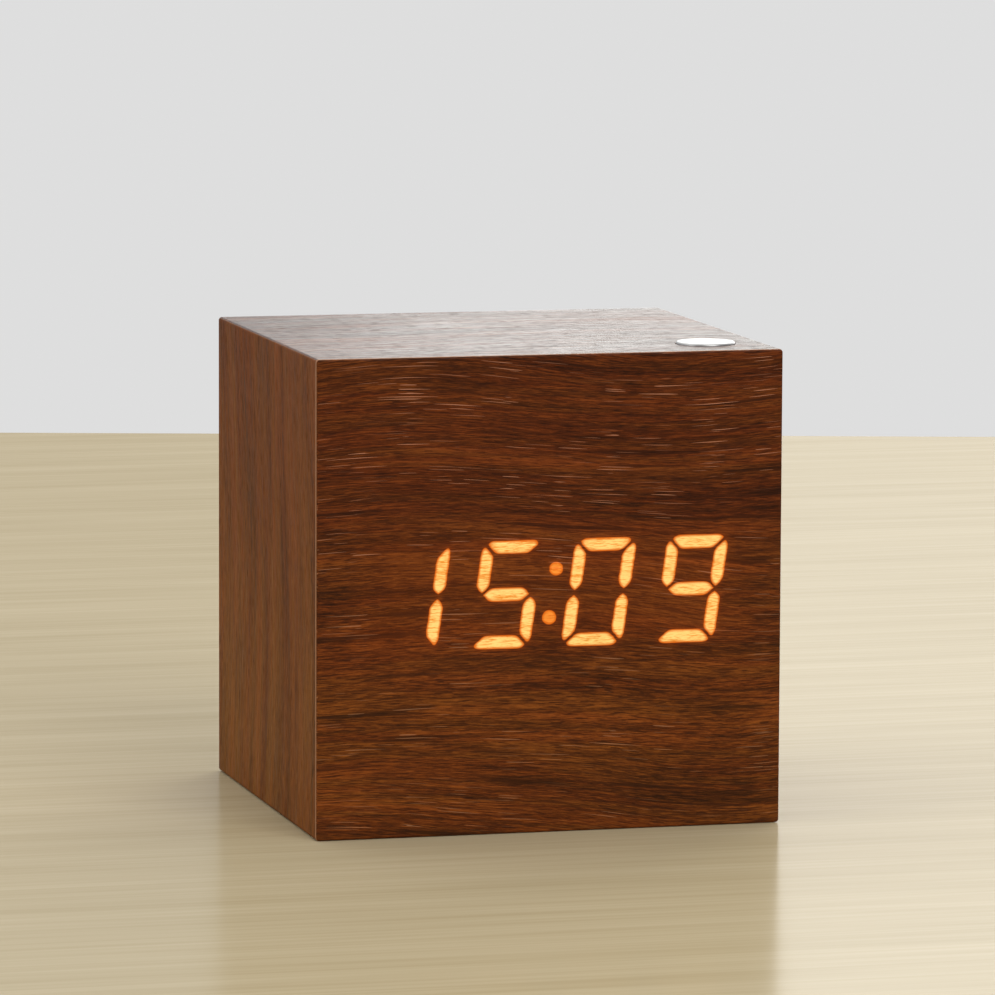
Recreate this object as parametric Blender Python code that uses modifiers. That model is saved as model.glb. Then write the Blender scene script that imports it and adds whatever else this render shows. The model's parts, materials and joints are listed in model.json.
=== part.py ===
"""Cube alarm clock: a veneered MDF case with LED digits that shine through the front veneer.

The frame is +Z up with the origin at the centre of the base. -Y is the front, where the digits
are, and +Y is the back, where the setting buttons and the power socket are. Units are metres.
"""

import math

import bmesh
import bpy
from mathutils import Euler, Matrix, Vector

MM = 0.001

# ---------------------------------------------------------------- driving dimensions
WIDTH = 64 * MM
HEIGHT = 64 * MM
DEPTH = 59 * MM
GAP = 0.3 * MM  # left between pieces that touch
SLIDE_GAP = 0.1 * MM  # round a pin that turns

FRONT = -DEPTH / 2
BACK = DEPTH / 2
HALF = WIDTH / 2

VENEER = 0.6 * MM  # the front sheet, thin enough for light to come through
BOARD = 4 * MM  # the case's boards, foil included
ARRIS = 0.4 * MM  # how much the case's long edges are eased
INSIDE = HALF - BOARD
FLOOR = BOARD
CEILING = HEIGHT - BOARD
BOARD_FRONT = FRONT + VENEER + GAP

# display: four digits of 14.2 mm on the usual 12.7 mm pitch
DIGIT_PITCH = 12.75 * MM
DIGIT_HEIGHT = 14.3 * MM
DIGIT_WIDTH = 8.4 * MM
SEGMENT = 1.75 * MM  # a segment's width
SEGMENT_GAP = 0.28 * MM
CORNER_CUT = 0.9 * MM  # off a digit's outer corners
SLANT = math.tan(math.radians(8))
DISPLAY_X = 0.25 * MM
DISPLAY_Z = 32.2 * MM
COLON_RISE = 3.2 * MM  # each dot's height above or below the middle
COLON_RADIUS = 0.95 * MM
MODULE_WIDTH = 50.3 * MM
MODULE_HEIGHT = 19 * MM
REFLECTOR_DEPTH = 5 * MM

# button on the top
BUTTON_X = 24 * MM
BUTTON_Y = -20 * MM
BUTTON_RADIUS = 4 * MM
BUTTON_PROUD = 0.3 * MM
TRAVEL = 0.3 * MM  # of every button and its tactile switch

# controls on the back
PANEL_FACE = BACK - 0.5 * MM
PANEL_THICK = 4 * MM
PANEL_INNER = PANEL_FACE - PANEL_THICK
CONTROL_Z = 27 * MM
PLATE_FACE = PANEL_FACE + 0.2 * MM
PLATE_THICK = 1.4 * MM
PLATE_HALF = (23 * MM, 8 * MM)
CUTOUT_HALF = (20.4 * MM, 5.2 * MM)
POST_X = 18.3 * MM
KEY_PITCH = 8 * MM
KEY_FIRST_X = -12.5 * MM
KEY_RADIUS = 2.6 * MM
SOCKET_X = 12 * MM
PCB = 1.6 * MM
BOARD_Y = 16 * MM  # inner face of the control board
SWITCH = 6 * MM  # a tactile switch's side
SWITCH_HEIGHT = 3.5 * MM

# battery bay under the floor: three AAA cells lying along X
CELL_LENGTH = 44.5 * MM
CELL_RADIUS = 5.25 * MM
CELL_PITCH = 11 * MM
TRAY_HALF = (26 * MM, 18 * MM)
TRAY_WALL = 1.2 * MM
TRAY_LOW = 0.3 * MM
TRAY_HIGH = 14.4 * MM
DOOR_LOW = 0.5 * MM
DOOR_THICK = 1.4 * MM
DOOR_HINGE_X = 23.6 * MM
CELL_Z = DOOR_LOW + DOOR_THICK + GAP + CELL_RADIUS
CONTACT_THICK = 0.4 * MM
CONTACT_X = TRAY_HALF[0] - TRAY_WALL - GAP  # a contact's face on the tray's end wall

# screws that hold the back panel
BACK_SCREW_X = 24.6 * MM
BACK_SCREW_Z = (9.3 * MM, 54.7 * MM)

SIDES = 24  # of a round piece
FEW_SIDES = 16  # of a small one

ALONG = {  # turns a piece's own +Z to a direction
    "+Z": Euler((0, 0, 0)),
    "-Z": Euler((math.pi, 0, 0)),
    "+Y": Euler((-math.pi / 2, 0, 0)),
    "-Y": Euler((math.pi / 2, 0, 0)),
    "+X": Euler((0, math.pi / 2, 0)),
    "-X": Euler((0, -math.pi / 2, 0)),
}
# turns an outline drawn in X and Y so that its thickness lies along an axis
FACING = {
    "Z": Euler((0, 0, 0)),  # the outline is in X, Y
    "Y": Euler((math.pi / 2, 0, 0)),  # in X, Z
    "X": Euler((math.pi / 2, 0, math.pi / 2)),  # in Y, Z
}


# ---------------------------------------------------------------- scene and materials
for old in list(bpy.data.objects):
    bpy.data.objects.remove(old)
scene = bpy.context.scene
parts = bpy.data.collections.new("cube_alarm_clock")
cutters = bpy.data.collections.new("cutters")
scene.collection.children.link(parts)
scene.collection.children.link(cutters)


def material(name, colour, roughness, metallic=0.0):
    made = bpy.data.materials.new(name)
    made.use_nodes = True
    shader = made.node_tree.nodes["Principled BSDF"]
    shader.inputs["Base Color"].default_value = (*colour, 1)
    shader.inputs["Roughness"].default_value = roughness
    shader.inputs["Metallic"].default_value = metallic
    return made


WALNUT = material("walnut", (0.12, 0.045, 0.018), 0.45)
MDF = material("mdf", (0.36, 0.24, 0.13), 0.8)
ALUMINIUM = material("aluminium", (0.82, 0.82, 0.83), 0.3, 1.0)
STEEL = material("steel", (0.6, 0.6, 0.6), 0.35, 1.0)
SPRING_STEEL = material("nickel_plate", (0.72, 0.7, 0.66), 0.25, 1.0)
BLACK_PLASTIC = material("black_plastic", (0.02, 0.02, 0.02), 0.5)
WHITE_PLASTIC = material("white_plastic", (0.8, 0.8, 0.78), 0.5)
AMBER = material("amber_resin", (1.0, 0.5, 0.12), 0.35)
CIRCUIT = material("circuit_board", (0.02, 0.14, 0.06), 0.45)
CHIP = material("chip_resin", (0.015, 0.015, 0.016), 0.55)
CELL_JACKET = material("cell_jacket", (0.1, 0.11, 0.12), 0.35)
RED_WIRE = material("red_wire", (0.5, 0.02, 0.02), 0.5)
BLACK_WIRE = material("black_wire", (0.02, 0.02, 0.02), 0.5)
GREY_WIRE = material("grey_wire", (0.35, 0.35, 0.36), 0.5)


# ---------------------------------------------------------------- tools
def place(name, data, finish, location=(0, 0, 0), rotation=ALONG["+Z"]):
    """Adds an object. With no finish it is a helper that other pieces are cut or joined with."""
    piece = bpy.data.objects.new(name, data)
    piece.location = location
    piece.rotation_euler = rotation
    (cutters if finish is None else parts).objects.link(piece)
    if finish is None:
        piece.hide_render = True
        piece.display_type = "WIRE"
    else:
        data.materials.append(finish)
    return piece


def smooth(piece, angle=35):
    piece.data.shade_smooth()
    piece.data.set_sharp_from_angle(angle=math.radians(angle))
    return piece


def boxes(name, spans, finish=None):
    """One mesh of closed boxes, each given by its low and high corners."""
    bm = bmesh.new()
    for low, high in spans:
        size = Vector(high) - Vector(low)
        centre = (Vector(high) + Vector(low)) / 2
        bmesh.ops.create_cube(bm, size=1, matrix=Matrix.LocRotScale(centre, None, size))
    mesh = bpy.data.meshes.new(name)
    bm.to_mesh(mesh)
    bm.free()
    return place(name, mesh, finish)


def box(name, low, high, finish=None, eased=0.0):
    centre = (Vector(high) + Vector(low)) / 2
    size = Vector(high) - Vector(low)
    mesh = bpy.data.meshes.new(name)
    bm = bmesh.new()
    bmesh.ops.create_cube(bm, size=1, matrix=Matrix.Diagonal((*size, 1)))
    bm.to_mesh(mesh)
    bm.free()
    piece = place(name, mesh, finish, centre)
    if eased:
        ease = piece.modifiers.new("eased_edges", "BEVEL")
        ease.width = eased
        ease.segments = 2
        ease.limit_method = "ANGLE"
    return piece


def rod(name, start, length, radius, along, finish=None, sides=SIDES):
    """A plain cylinder from its start point."""
    mesh = bpy.data.meshes.new(name)
    bm = bmesh.new()
    bmesh.ops.create_cone(
        bm,
        cap_ends=True,
        segments=sides,
        radius1=radius,
        radius2=radius,
        depth=length,
        matrix=Matrix.Translation((0, 0, length / 2)),
    )
    bm.to_mesh(mesh)
    bm.free()
    return smooth(place(name, mesh, finish, start, ALONG[along]))


def turned(name, profile, location, along, finish=None, sides=SIDES):
    """A round piece. The profile is (radius, height) down its outer side, from top to bottom."""
    mesh = bpy.data.meshes.new(name)
    points = [(radius, 0, height) for radius, height in profile]
    edges = [(i, i + 1) for i in range(len(points) - 1)]
    mesh.from_pydata(points, edges, [])
    piece = place(name, mesh, finish, location, ALONG[along])
    spin = piece.modifiers.new("turned", "SCREW")
    spin.steps = sides
    spin.render_steps = sides
    spin.use_merge_vertices = True
    spin.merge_threshold = 0.00001
    spin.use_normal_calculate = False
    return piece


def flat_curve(name, outlines, thickness):
    """A 2D curve of closed outlines, filled and given a thickness about its own plane."""
    curve = bpy.data.curves.new(name, "CURVE")
    curve.dimensions = "2D"
    curve.fill_mode = "BOTH"
    curve.extrude = thickness / 2
    for outline in outlines:
        spline = curve.splines.new("POLY")
        spline.points.add(len(outline) - 1)
        for point, (u, v) in zip(spline.points, outline, strict=True):
            point.co = (u, v, 0, 1)
        spline.use_cyclic_u = True
    return curve


def as_mesh(name, curve):
    """The curve's solid as a mesh whose caps are welded on."""
    holder = bpy.data.objects.new(name + "_curve", curve)
    scene.collection.objects.link(holder)
    graph = bpy.context.evaluated_depsgraph_get()
    mesh = bpy.data.meshes.new_from_object(holder.evaluated_get(graph))
    bpy.data.objects.remove(holder)
    bm = bmesh.new()
    bm.from_mesh(mesh)
    bmesh.ops.remove_doubles(bm, verts=bm.verts, dist=0.000001)
    bmesh.ops.recalc_face_normals(bm, faces=bm.faces)
    bm.to_mesh(mesh)
    bm.free()
    mesh.name = name
    mesh.materials.clear()
    return mesh


def prism(name, outlines, axis, low, high, finish=None):
    """Closed outlines extruded along an axis from low to high."""
    mesh = as_mesh(name, flat_curve(name, outlines, high - low))
    middle = (low + high) / 2
    location = {"X": (middle, 0, 0), "Y": (0, middle, 0), "Z": (0, 0, middle)}[axis]
    return place(name, mesh, finish, location, FACING[axis])


def rounded_rectangle(centre, half, radius, arc_steps=4):
    """The outline of a rectangle with round corners."""
    points = []
    for quarter, (sx, sy) in enumerate(((1, 1), (-1, 1), (-1, -1), (1, -1))):
        corner = (
            centre[0] + sx * (half[0] - radius),
            centre[1] + sy * (half[1] - radius),
        )
        for step in range(arc_steps + 1):
            angle = math.pi / 2 * (quarter + step / arc_steps)
            points.append(
                (
                    corner[0] + radius * math.cos(angle),
                    corner[1] + radius * math.sin(angle),
                )
            )
    return points


def smooth_route(waypoints, spacing):
    """Evenly spaced points on a Catmull-Rom curve through the waypoints."""
    ends = [2 * waypoints[0] - waypoints[1], 2 * waypoints[-1] - waypoints[-2]]
    around = [ends[0], *waypoints, ends[1]]
    fine = []
    for i in range(1, len(around) - 2):
        a, b, c, d = around[i - 1 : i + 3]
        for step in range(40):
            t = step / 40
            fine.append(
                0.5
                * (
                    2 * b
                    + (c - a) * t
                    + (2 * a - 5 * b + 4 * c - d) * t**2
                    + (3 * b - a - 3 * c + d) * t**3
                )
            )
    fine.append(waypoints[-1])
    kept, since = [fine[0]], 0.0
    for before, point in zip(fine, fine[1:], strict=False):
        since += (point - before).length
        if since >= spacing:
            kept.append(point)
            since = 0.0
    kept[-1] = fine[-1]
    return kept


def round_wire(name, points, radius, finish=None, sides_level=2):
    """A round wire along the points, with flat ends."""
    curve = bpy.data.curves.new(name, "CURVE")
    curve.dimensions = "3D"
    curve.bevel_depth = radius
    curve.bevel_resolution = sides_level
    curve.use_fill_caps = True
    spline = curve.splines.new("POLY")
    spline.points.add(len(points) - 1)
    for knot, point in zip(spline.points, points, strict=True):
        knot.co = (*point, 1)
    if finish is None:
        return place(name, as_mesh(name, curve), None)
    return place(name, curve, finish)


def boolean(piece, helper, operation):
    step = piece.modifiers.new(operation.lower(), "BOOLEAN")
    step.operation = operation
    step.solver = "EXACT"
    step.object = helper


def cut(piece, *helpers):
    for helper in helpers:
        boolean(piece, helper, "DIFFERENCE")
    return piece


def fuse(piece, *helpers):
    for helper in helpers:
        boolean(piece, helper, "UNION")
    return piece


# ---------------------------------------------------------------- case
def board_outline():
    """A board's section with mitred ends, outer face up, as seen from the front, centred on the case."""
    skew = GAP / math.sqrt(2)  # keeps neighbours apart by the gap, square to the mitre
    top = HALF
    under = INSIDE
    tip_in = (ARRIS + skew) / 2
    tip_down = (ARRIS - skew) / 2
    right = [
        (HALF - ARRIS, top),
        (HALF - tip_in, top - tip_down),
        (INSIDE - skew, under),
    ]
    left = [(-u, v) for u, v in reversed(right)]
    return right + left


def make_boards():
    """The four boards of the case are one section turned by quarters."""
    made = {}
    names = ("top_board", "left_board", "bottom_board", "right_board")
    for quarter, name in enumerate(names):
        turn = Matrix.Rotation(math.pi / 2 * quarter, 2)
        outline = [tuple(turn @ Vector(p)) for p in board_outline()]
        piece = prism(name, [outline], "Y", BOARD_FRONT, BACK, WALNUT)
        piece.location.z = HEIGHT / 2
        made[name] = piece
    return made


def make_case():
    boards = make_boards()
    box(
        "front_veneer",
        (-HALF, FRONT, 0),
        (HALF, FRONT + VENEER, HEIGHT),
        WALNUT,
        eased=0.25 * MM,
    )
    panel_half = INSIDE - GAP
    front_panel = box(
        "front_panel",
        (-panel_half, BOARD_FRONT, FLOOR + GAP),
        (panel_half, BOARD_FRONT + 3.5 * MM, CEILING - GAP),
        MDF,
    )
    window_half = (MODULE_WIDTH / 2 + GAP, MODULE_HEIGHT / 2 + GAP)
    window = box(
        "display_window",
        (DISPLAY_X - window_half[0], FRONT, DISPLAY_Z - window_half[1]),
        (DISPLAY_X + window_half[0], 0, DISPLAY_Z + window_half[1]),
    )
    cut(front_panel, window)

    bay_half = (TRAY_HALF[0] + GAP, TRAY_HALF[1] + GAP)
    bay = box(
        "bay_opening",
        (-bay_half[0], -bay_half[1], -1 * MM),
        (bay_half[0], bay_half[1], FLOOR + 1 * MM),
    )
    cut(boards["bottom_board"], bay)
    return boards


def make_back():
    """The back panel with its four screws, and the battens they go into."""
    panel_half = INSIDE - GAP
    panel = box(
        "back_panel",
        (-panel_half, PANEL_INNER, FLOOR + GAP),
        (panel_half, PANEL_FACE, CEILING - GAP),
        WALNUT,
    )
    rebate = prism(
        "plate_rebate",
        [
            rounded_rectangle(
                (0, CONTROL_Z), (PLATE_HALF[0] + GAP, PLATE_HALF[1] + GAP), 2.3 * MM
            )
        ],
        "Y",
        PLATE_FACE - PLATE_THICK - GAP,
        BACK + 1 * MM,
    )
    cutout = prism(
        "plate_cutout",
        [rounded_rectangle((0, CONTROL_Z), CUTOUT_HALF, 1.5 * MM)],
        "Y",
        PANEL_INNER - 1 * MM,
        BACK + 1 * MM,
    )
    cut(panel, rebate, cutout)

    battens = {}
    for side, name in ((-1, "left_batten"), (1, "right_batten")):
        near = side * (INSIDE - GAP)
        far = side * 21.5 * MM
        battens[side] = box(
            name,
            (min(near, far), TRAY_HALF[1] + 0.4 * MM, FLOOR + GAP),
            (max(near, far), PANEL_INNER - GAP, CEILING - GAP),
            MDF,
        )

    number = 0
    for side, batten in battens.items():
        for height in BACK_SCREW_Z:
            number += 1
            head = (side * BACK_SCREW_X, PANEL_FACE - 0.1 * MM, height)
            turned(
                f"back_screw_{number}",
                countersunk_screw(2.4 * MM, 1.15 * MM, 9.5 * MM),
                head,
                "+Y",
                STEEL,
                FEW_SIDES,
            )
            hole = turned(
                f"back_screw_hole_{number}",
                countersunk_hole(2.4 * MM, 1.15 * MM, 10 * MM),
                head,
                "+Y",
                None,
                FEW_SIDES,
            )
            cut(panel, hole)
            cut(batten, hole)


def countersunk_screw(head, shank, length):
    """Profile of a flat-head screw whose head's top is at height 0."""
    return [
        (0, 0),
        (head, 0),
        (head, -0.3 * MM),
        (shank, -0.3 * MM - (head - shank)),
        (shank, -length + shank),
        (0, -length),
    ]


def countersunk_hole(head, shank, length):
    """The same profile grown by the gap and open past the head."""
    slack = GAP
    return [
        (0, 2 * MM),
        (head + slack, 2 * MM),
        (head + slack, -0.3 * MM),
        (shank + slack, -0.3 * MM - (head - shank)),
        (shank + slack, -length),
        (0, -length),
    ]


def pan_screw(head, head_height, shank, length):
    """Profile of a pan-head screw whose head sits on height 0 and whose shank goes down."""
    return [
        (0, head_height),
        (head * 0.8, head_height),
        (head, head_height * 0.5),
        (head, 0),
        (shank, 0),
        (shank, -length + shank),
        (0, -length),
    ]


# ---------------------------------------------------------------- display
def segment_outlines(inset=0.0):
    """The seven segments of a digit as outlines about its centre, upright, in the order a to g."""
    w = DIGIT_WIDTH / 2
    h = DIGIT_HEIGHT / 2
    t = SEGMENT - inset
    k = (SEGMENT_GAP + inset) / math.sqrt(2)
    c = CORNER_CUT
    w -= inset / 2
    h -= inset / 2
    across = [
        (w - (c + k) / 2, h - (c - k) / 2),
        (w - c, h),
        (-w + c, h),
        (-w + (c + k) / 2, h - (c - k) / 2),
        (-w + t + k, h - t),
        (w - t - k, h - t),
    ]
    upright = [
        (w, h - c),
        (w - (c - k) / 2, h - (c + k) / 2),
        (w - t, h - t - k),
        (w - t, t / 2 + k),
        (w - t / 2, k),
        (w, t / 2 + k),
    ]
    middle = [
        (w - t / 2 - k, 0),
        (w - t - k, t / 2),
        (-w + t + k, t / 2),
        (-w + t / 2 + k, 0),
        (-w + t + k, -t / 2),
        (w - t - k, -t / 2),
    ]
    flips = {
        "a": (across, 1, 1),
        "b": (upright, 1, 1),
        "c": (upright, 1, -1),
        "d": (across, 1, -1),
        "e": (upright, -1, -1),
        "f": (upright, -1, 1),
        "g": (middle, 1, 1),
    }
    return {
        letter: [(su * u, sv * v) for u, v in shape]
        for letter, (shape, su, sv) in flips.items()
    }


def upright_rectangle(half_width, half_height):
    return [
        (half_width, half_height),
        (-half_width, half_height),
        (-half_width, -half_height),
        (half_width, -half_height),
    ]


def leaning(outline, x):
    """The outline slanted like the digits and moved to its place in the display."""
    return [(x + DISPLAY_X + u + v * SLANT, DISPLAY_Z + v) for u, v in outline]


def dot_outline(rise, radius):
    return [
        (
            radius * math.cos(2 * math.pi * i / FEW_SIDES),
            rise + radius * math.sin(2 * math.pi * i / FEW_SIDES),
        )
        for i in range(FEW_SIDES)
    ]


def dots(radius):
    """The colon's two dots in place: round ones, so only their centres lean."""
    placed = []
    for rise in (COLON_RISE, -COLON_RISE):
        x = DISPLAY_X + rise * SLANT
        placed.append(
            [(x + u, DISPLAY_Z + v) for u, v in dot_outline(rise, radius)]
        )
    return placed


def digit_x(number):
    """The centre of digit 0 to 3, counted from the left."""
    return (number - 1.5) * DIGIT_PITCH


def make_display():
    face = BOARD_FRONT
    rear = face + REFLECTOR_DEPTH
    reflector = box(
        "display_reflector",
        (DISPLAY_X - MODULE_WIDTH / 2, face, DISPLAY_Z - MODULE_HEIGHT / 2),
        (DISPLAY_X + MODULE_WIDTH / 2, rear, DISPLAY_Z + MODULE_HEIGHT / 2),
        WHITE_PLASTIC,
    )
    guide_back = rear + GAP
    guide_front = face + 0.2 * MM
    guide_plate = 1 * MM
    bar_inset = 0.3 * MM
    for number in range(4):
        x = digit_x(number)
        windows = [leaning(o, x) for o in segment_outlines().values()]
        cut(
            reflector,
            prism(
                f"digit_windows_{number}", windows, "Y", face - 1 * MM, rear + 1 * MM
            ),
        )
        guide = prism(
            f"digit_light_guide_{number + 1}",
            [leaning(upright_rectangle(4.6 * MM, MODULE_HEIGHT / 2 - 0.6 * MM), x)],
            "Y",
            guide_back,
            guide_back + guide_plate,
            AMBER,
        )
        bars = [leaning(o, x) for o in segment_outlines(bar_inset).values()]
        fuse(
            guide,
            prism(
                f"digit_bars_{number}",
                bars,
                "Y",
                guide_front,
                guide_back + guide_plate / 2,
            ),
        )
    cut(
        reflector,
        prism(
            "colon_windows", dots(COLON_RADIUS), "Y", face - 1 * MM, rear + 1 * MM
        ),
    )
    colon = prism(
        "colon_light_guide",
        [leaning(upright_rectangle(1.4 * MM, 5.2 * MM), 0)],
        "Y",
        guide_back,
        guide_back + guide_plate,
        AMBER,
    )
    fuse(
        colon,
        prism(
            "colon_pins",
            dots(COLON_RADIUS - bar_inset / 2),
            "Y",
            guide_front,
            guide_back + guide_plate / 2,
        ),
    )
    make_display_board(guide_back + guide_plate)


def make_display_board(guide_rear):
    """The circuit board behind the light guides, with an LED under each segment and dot."""
    led_height = 0.9 * MM
    led_half = (0.8 * MM, 0.4 * MM)
    face = guide_rear + GAP + led_height
    board_half = (26 * MM, 11 * MM)
    board = box(
        "display_board",
        (DISPLAY_X - board_half[0], face, DISPLAY_Z - board_half[1]),
        (DISPLAY_X + board_half[0], face + PCB, DISPLAY_Z + board_half[1]),
        CIRCUIT,
    )
    spans = []
    for number in range(4):
        for outline in segment_outlines().values():
            placed = leaning(outline, digit_x(number))
            u = sum(p[0] for p in placed) / len(placed)
            v = sum(p[1] for p in placed) / len(placed)
            spans.append(
                (
                    (u - led_half[0], face - led_height, v - led_half[1]),
                    (u + led_half[0], face + PCB / 2, v + led_half[1]),
                )
            )
    for rise in (COLON_RISE, -COLON_RISE):
        u = DISPLAY_X + rise * SLANT
        v = DISPLAY_Z + rise
        spans.append(
            (
                (u - led_half[1], face - led_height, v - led_half[0]),
                (u + led_half[1], face + PCB / 2, v + led_half[0]),
            )
        )
    fuse(board, boxes("display_leds", spans))
    rear = face + PCB + GAP
    box(
        "display_driver_chip",
        (-5 * MM, rear, 27.5 * MM),
        (5 * MM, rear + 1.6 * MM, 31.5 * MM),
        CHIP,
        eased=0.2 * MM,
    )


# ---------------------------------------------------------------- tactile switches
def tactile_switch(name, base, along, spread):
    """A switch body on a board and the plunger that a button pushes. It returns the plunger's top."""
    towards = ALONG[along].to_matrix() @ Vector((0, 0, 1))
    centre = Vector(base)
    reach = Vector(spread) * (SWITCH / 2)
    low = centre - reach
    high = centre + reach + towards * SWITCH_HEIGHT
    body = box(
        f"{name}_switch_body",
        [min(a, b) for a, b in zip(low, high, strict=True)],
        [max(a, b) for a, b in zip(low, high, strict=True)],
        BLACK_PLASTIC,
    )
    plunger_radius = 1.5 * MM
    seat = SWITCH_HEIGHT - 1.2 * MM
    cut(
        body,
        rod(
            f"{name}_switch_bore",
            centre + towards * seat,
            3 * MM,
            plunger_radius + GAP,
            along,
            None,
            FEW_SIDES,
        ),
    )
    start = seat + TRAVEL + GAP
    top = SWITCH_HEIGHT + 1 * MM
    rod(
        f"{name}_switch_plunger",
        centre + towards * start,
        top - start,
        plunger_radius,
        along,
        BLACK_PLASTIC,
        FEW_SIDES,
    )
    return centre + towards * top


# ---------------------------------------------------------------- button on the top
def make_top_button(top_board):
    top = HEIGHT + BUTTON_PROUD
    head_low = top - 1.4 * MM
    stem_radius = 1.5 * MM
    stem_low = CEILING - 2.4 * MM
    turned(
        "top_button",
        [
            (0, top),
            (BUTTON_RADIUS - 0.2 * MM, top),
            (BUTTON_RADIUS, top - 0.2 * MM),
            (BUTTON_RADIUS, head_low),
            (stem_radius, head_low),
            (stem_radius, stem_low),
            (0, stem_low),
        ],
        (BUTTON_X, BUTTON_Y, 0),
        "+Z",
        ALUMINIUM,
        32,
    )
    cut(
        top_board,
        turned(
            "top_button_hole",
            [
                (0, HEIGHT + 1 * MM),
                (BUTTON_RADIUS + GAP, HEIGHT + 1 * MM),
                (BUTTON_RADIUS + GAP, head_low - TRAVEL - GAP),
                (stem_radius + GAP, head_low - TRAVEL - GAP),
                (stem_radius + GAP, CEILING - 1 * MM),
                (0, CEILING - 1 * MM),
            ],
            (BUTTON_X, BUTTON_Y, 0),
            "+Z",
            None,
            32,
        ),
    )
    ring_low = CEILING - GAP - 0.8 * MM
    ring = rod(
        "top_button_ring",
        (BUTTON_X, BUTTON_Y, ring_low),
        0.8 * MM,
        3 * MM,
        "+Z",
        STEEL,
    )
    cut(
        ring,
        rod(
            "ring_bore",
            (BUTTON_X, BUTTON_Y, ring_low - 1 * MM),
            3 * MM,
            stem_radius + SLIDE_GAP,
            "+Z",
        ),
    )

    plunger_top = stem_low - GAP
    switch_base = plunger_top - 1 * MM - SWITCH_HEIGHT
    tactile_switch("top", (BUTTON_X, BUTTON_Y, switch_base), "+Z", (1, 1, 0))
    board_top = switch_base - GAP
    board_low = board_top - PCB
    board_y = (BUTTON_Y - 4.5 * MM, BUTTON_Y + 4.5 * MM)
    box(
        "top_switch_board",
        (16.4 * MM, board_y[0], board_low),
        (27.4 * MM, board_y[1], board_top),
        CIRCUIT,
    )
    bracket_top = board_low - GAP
    bracket_low = bracket_top - 1.5 * MM
    bracket = box(
        "top_switch_bracket",
        (10.6 * MM, board_y[0], bracket_low),
        (27.4 * MM, board_y[1], bracket_top),
        BLACK_PLASTIC,
    )
    post_x = 13.4 * MM
    for number, post_y in enumerate((BUTTON_Y - 2.4 * MM, BUTTON_Y + 2.4 * MM), 1):
        fuse(
            bracket,
            rod(
                f"bracket_post_{number}",
                (post_x, post_y, bracket_low + 0.5 * MM),
                CEILING - GAP - bracket_low - 0.5 * MM,
                2 * MM,
                "+Z",
                None,
                FEW_SIDES,
            ),
        )
        shank = 0.9 * MM
        hole = rod(
            f"bracket_hole_{number}",
            (post_x, post_y, bracket_low - 2 * MM),
            CEILING + 3 * MM - bracket_low + 2 * MM,
            shank + GAP,
            "+Z",
            None,
            FEW_SIDES,
        )
        cut(bracket, hole)
        cut(top_board, hole)
        turned(
            f"bracket_screw_{number}",
            pan_screw(1.9 * MM, 1.2 * MM, shank, CEILING + 2.6 * MM - bracket_low),
            (post_x, post_y, bracket_low - GAP),
            "-Z",
            STEEL,
            FEW_SIDES,
        )


# ---------------------------------------------------------------- controls on the back
def make_controls():
    plate_back = PLATE_FACE - PLATE_THICK
    board_rear = BOARD_Y + PCB
    plate = prism(
        "control_plate",
        [rounded_rectangle((0, CONTROL_Z), PLATE_HALF, 2 * MM)],
        "Y",
        plate_back,
        PLATE_FACE,
        BLACK_PLASTIC,
    )
    board = box(
        "control_board",
        (-21 * MM, BOARD_Y, CONTROL_Z - 9 * MM),
        (21 * MM, board_rear, CONTROL_Z + 9 * MM),
        CIRCUIT,
    )
    shank = 0.9 * MM
    for number, x in enumerate((-POST_X, POST_X), 1):
        post_low = board_rear + GAP
        fuse(
            plate,
            rod(
                f"plate_post_{number}",
                (x, post_low, CONTROL_Z),
                plate_back + 0.7 * MM - post_low,
                1.9 * MM,
                "+Y",
                None,
                FEW_SIDES,
            ),
        )
        hole = rod(
            f"board_screw_hole_{number}",
            (x, BOARD_Y - 2 * MM, CONTROL_Z),
            10.5 * MM,
            shank + GAP,
            "+Y",
            None,
            FEW_SIDES,
        )
        cut(plate, hole)
        cut(board, hole)
        turned(
            f"board_screw_{number}",
            pan_screw(1.9 * MM, 1.2 * MM, shank, 8 * MM),
            (x, BOARD_Y - GAP, CONTROL_Z),
            "-Y",
            STEEL,
            FEW_SIDES,
        )

    for number, name in enumerate(("set", "up", "down")):
        x = KEY_FIRST_X + number * KEY_PITCH
        plunger_top = tactile_switch(
            name, (x, board_rear + GAP, CONTROL_Z), "+Y", (1, 0, 1)
        )
        stem_end = plunger_top.y + GAP
        flange_top = plate_back - GAP
        turned(
            f"{name}_button",
            [
                (0, BACK),
                (KEY_RADIUS - 0.3 * MM, BACK),
                (KEY_RADIUS, BACK - 0.3 * MM),
                (KEY_RADIUS, flange_top),
                (KEY_RADIUS + 1 * MM, flange_top),
                (KEY_RADIUS + 1 * MM, flange_top - 1 * MM),
                (1.5 * MM, flange_top - 1 * MM),
                (1.5 * MM, stem_end),
                (0, stem_end),
            ],
            (x, 0, CONTROL_Z),
            "+Y",
            BLACK_PLASTIC,
            SIDES,
        )
        cut(
            plate,
            rod(
                f"{name}_button_hole",
                (x, plate_back - 1 * MM, CONTROL_Z),
                PLATE_THICK + 2 * MM,
                KEY_RADIUS + GAP,
                "+Y",
            ),
        )
    make_power_socket(plate, board_rear)
    make_board_pieces()


def socket_outline(half_width, half_height, shoulder):
    """The socket's six-sided mouth: wide at the top, with its lower corners cut off."""
    return [
        (SOCKET_X + half_width, CONTROL_Z + half_height),
        (SOCKET_X - half_width, CONTROL_Z + half_height),
        (SOCKET_X - half_width, CONTROL_Z - half_height + shoulder),
        (SOCKET_X - half_width + shoulder, CONTROL_Z - half_height),
        (SOCKET_X + half_width - shoulder, CONTROL_Z - half_height),
        (SOCKET_X + half_width, CONTROL_Z - half_height + shoulder),
    ]


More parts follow.
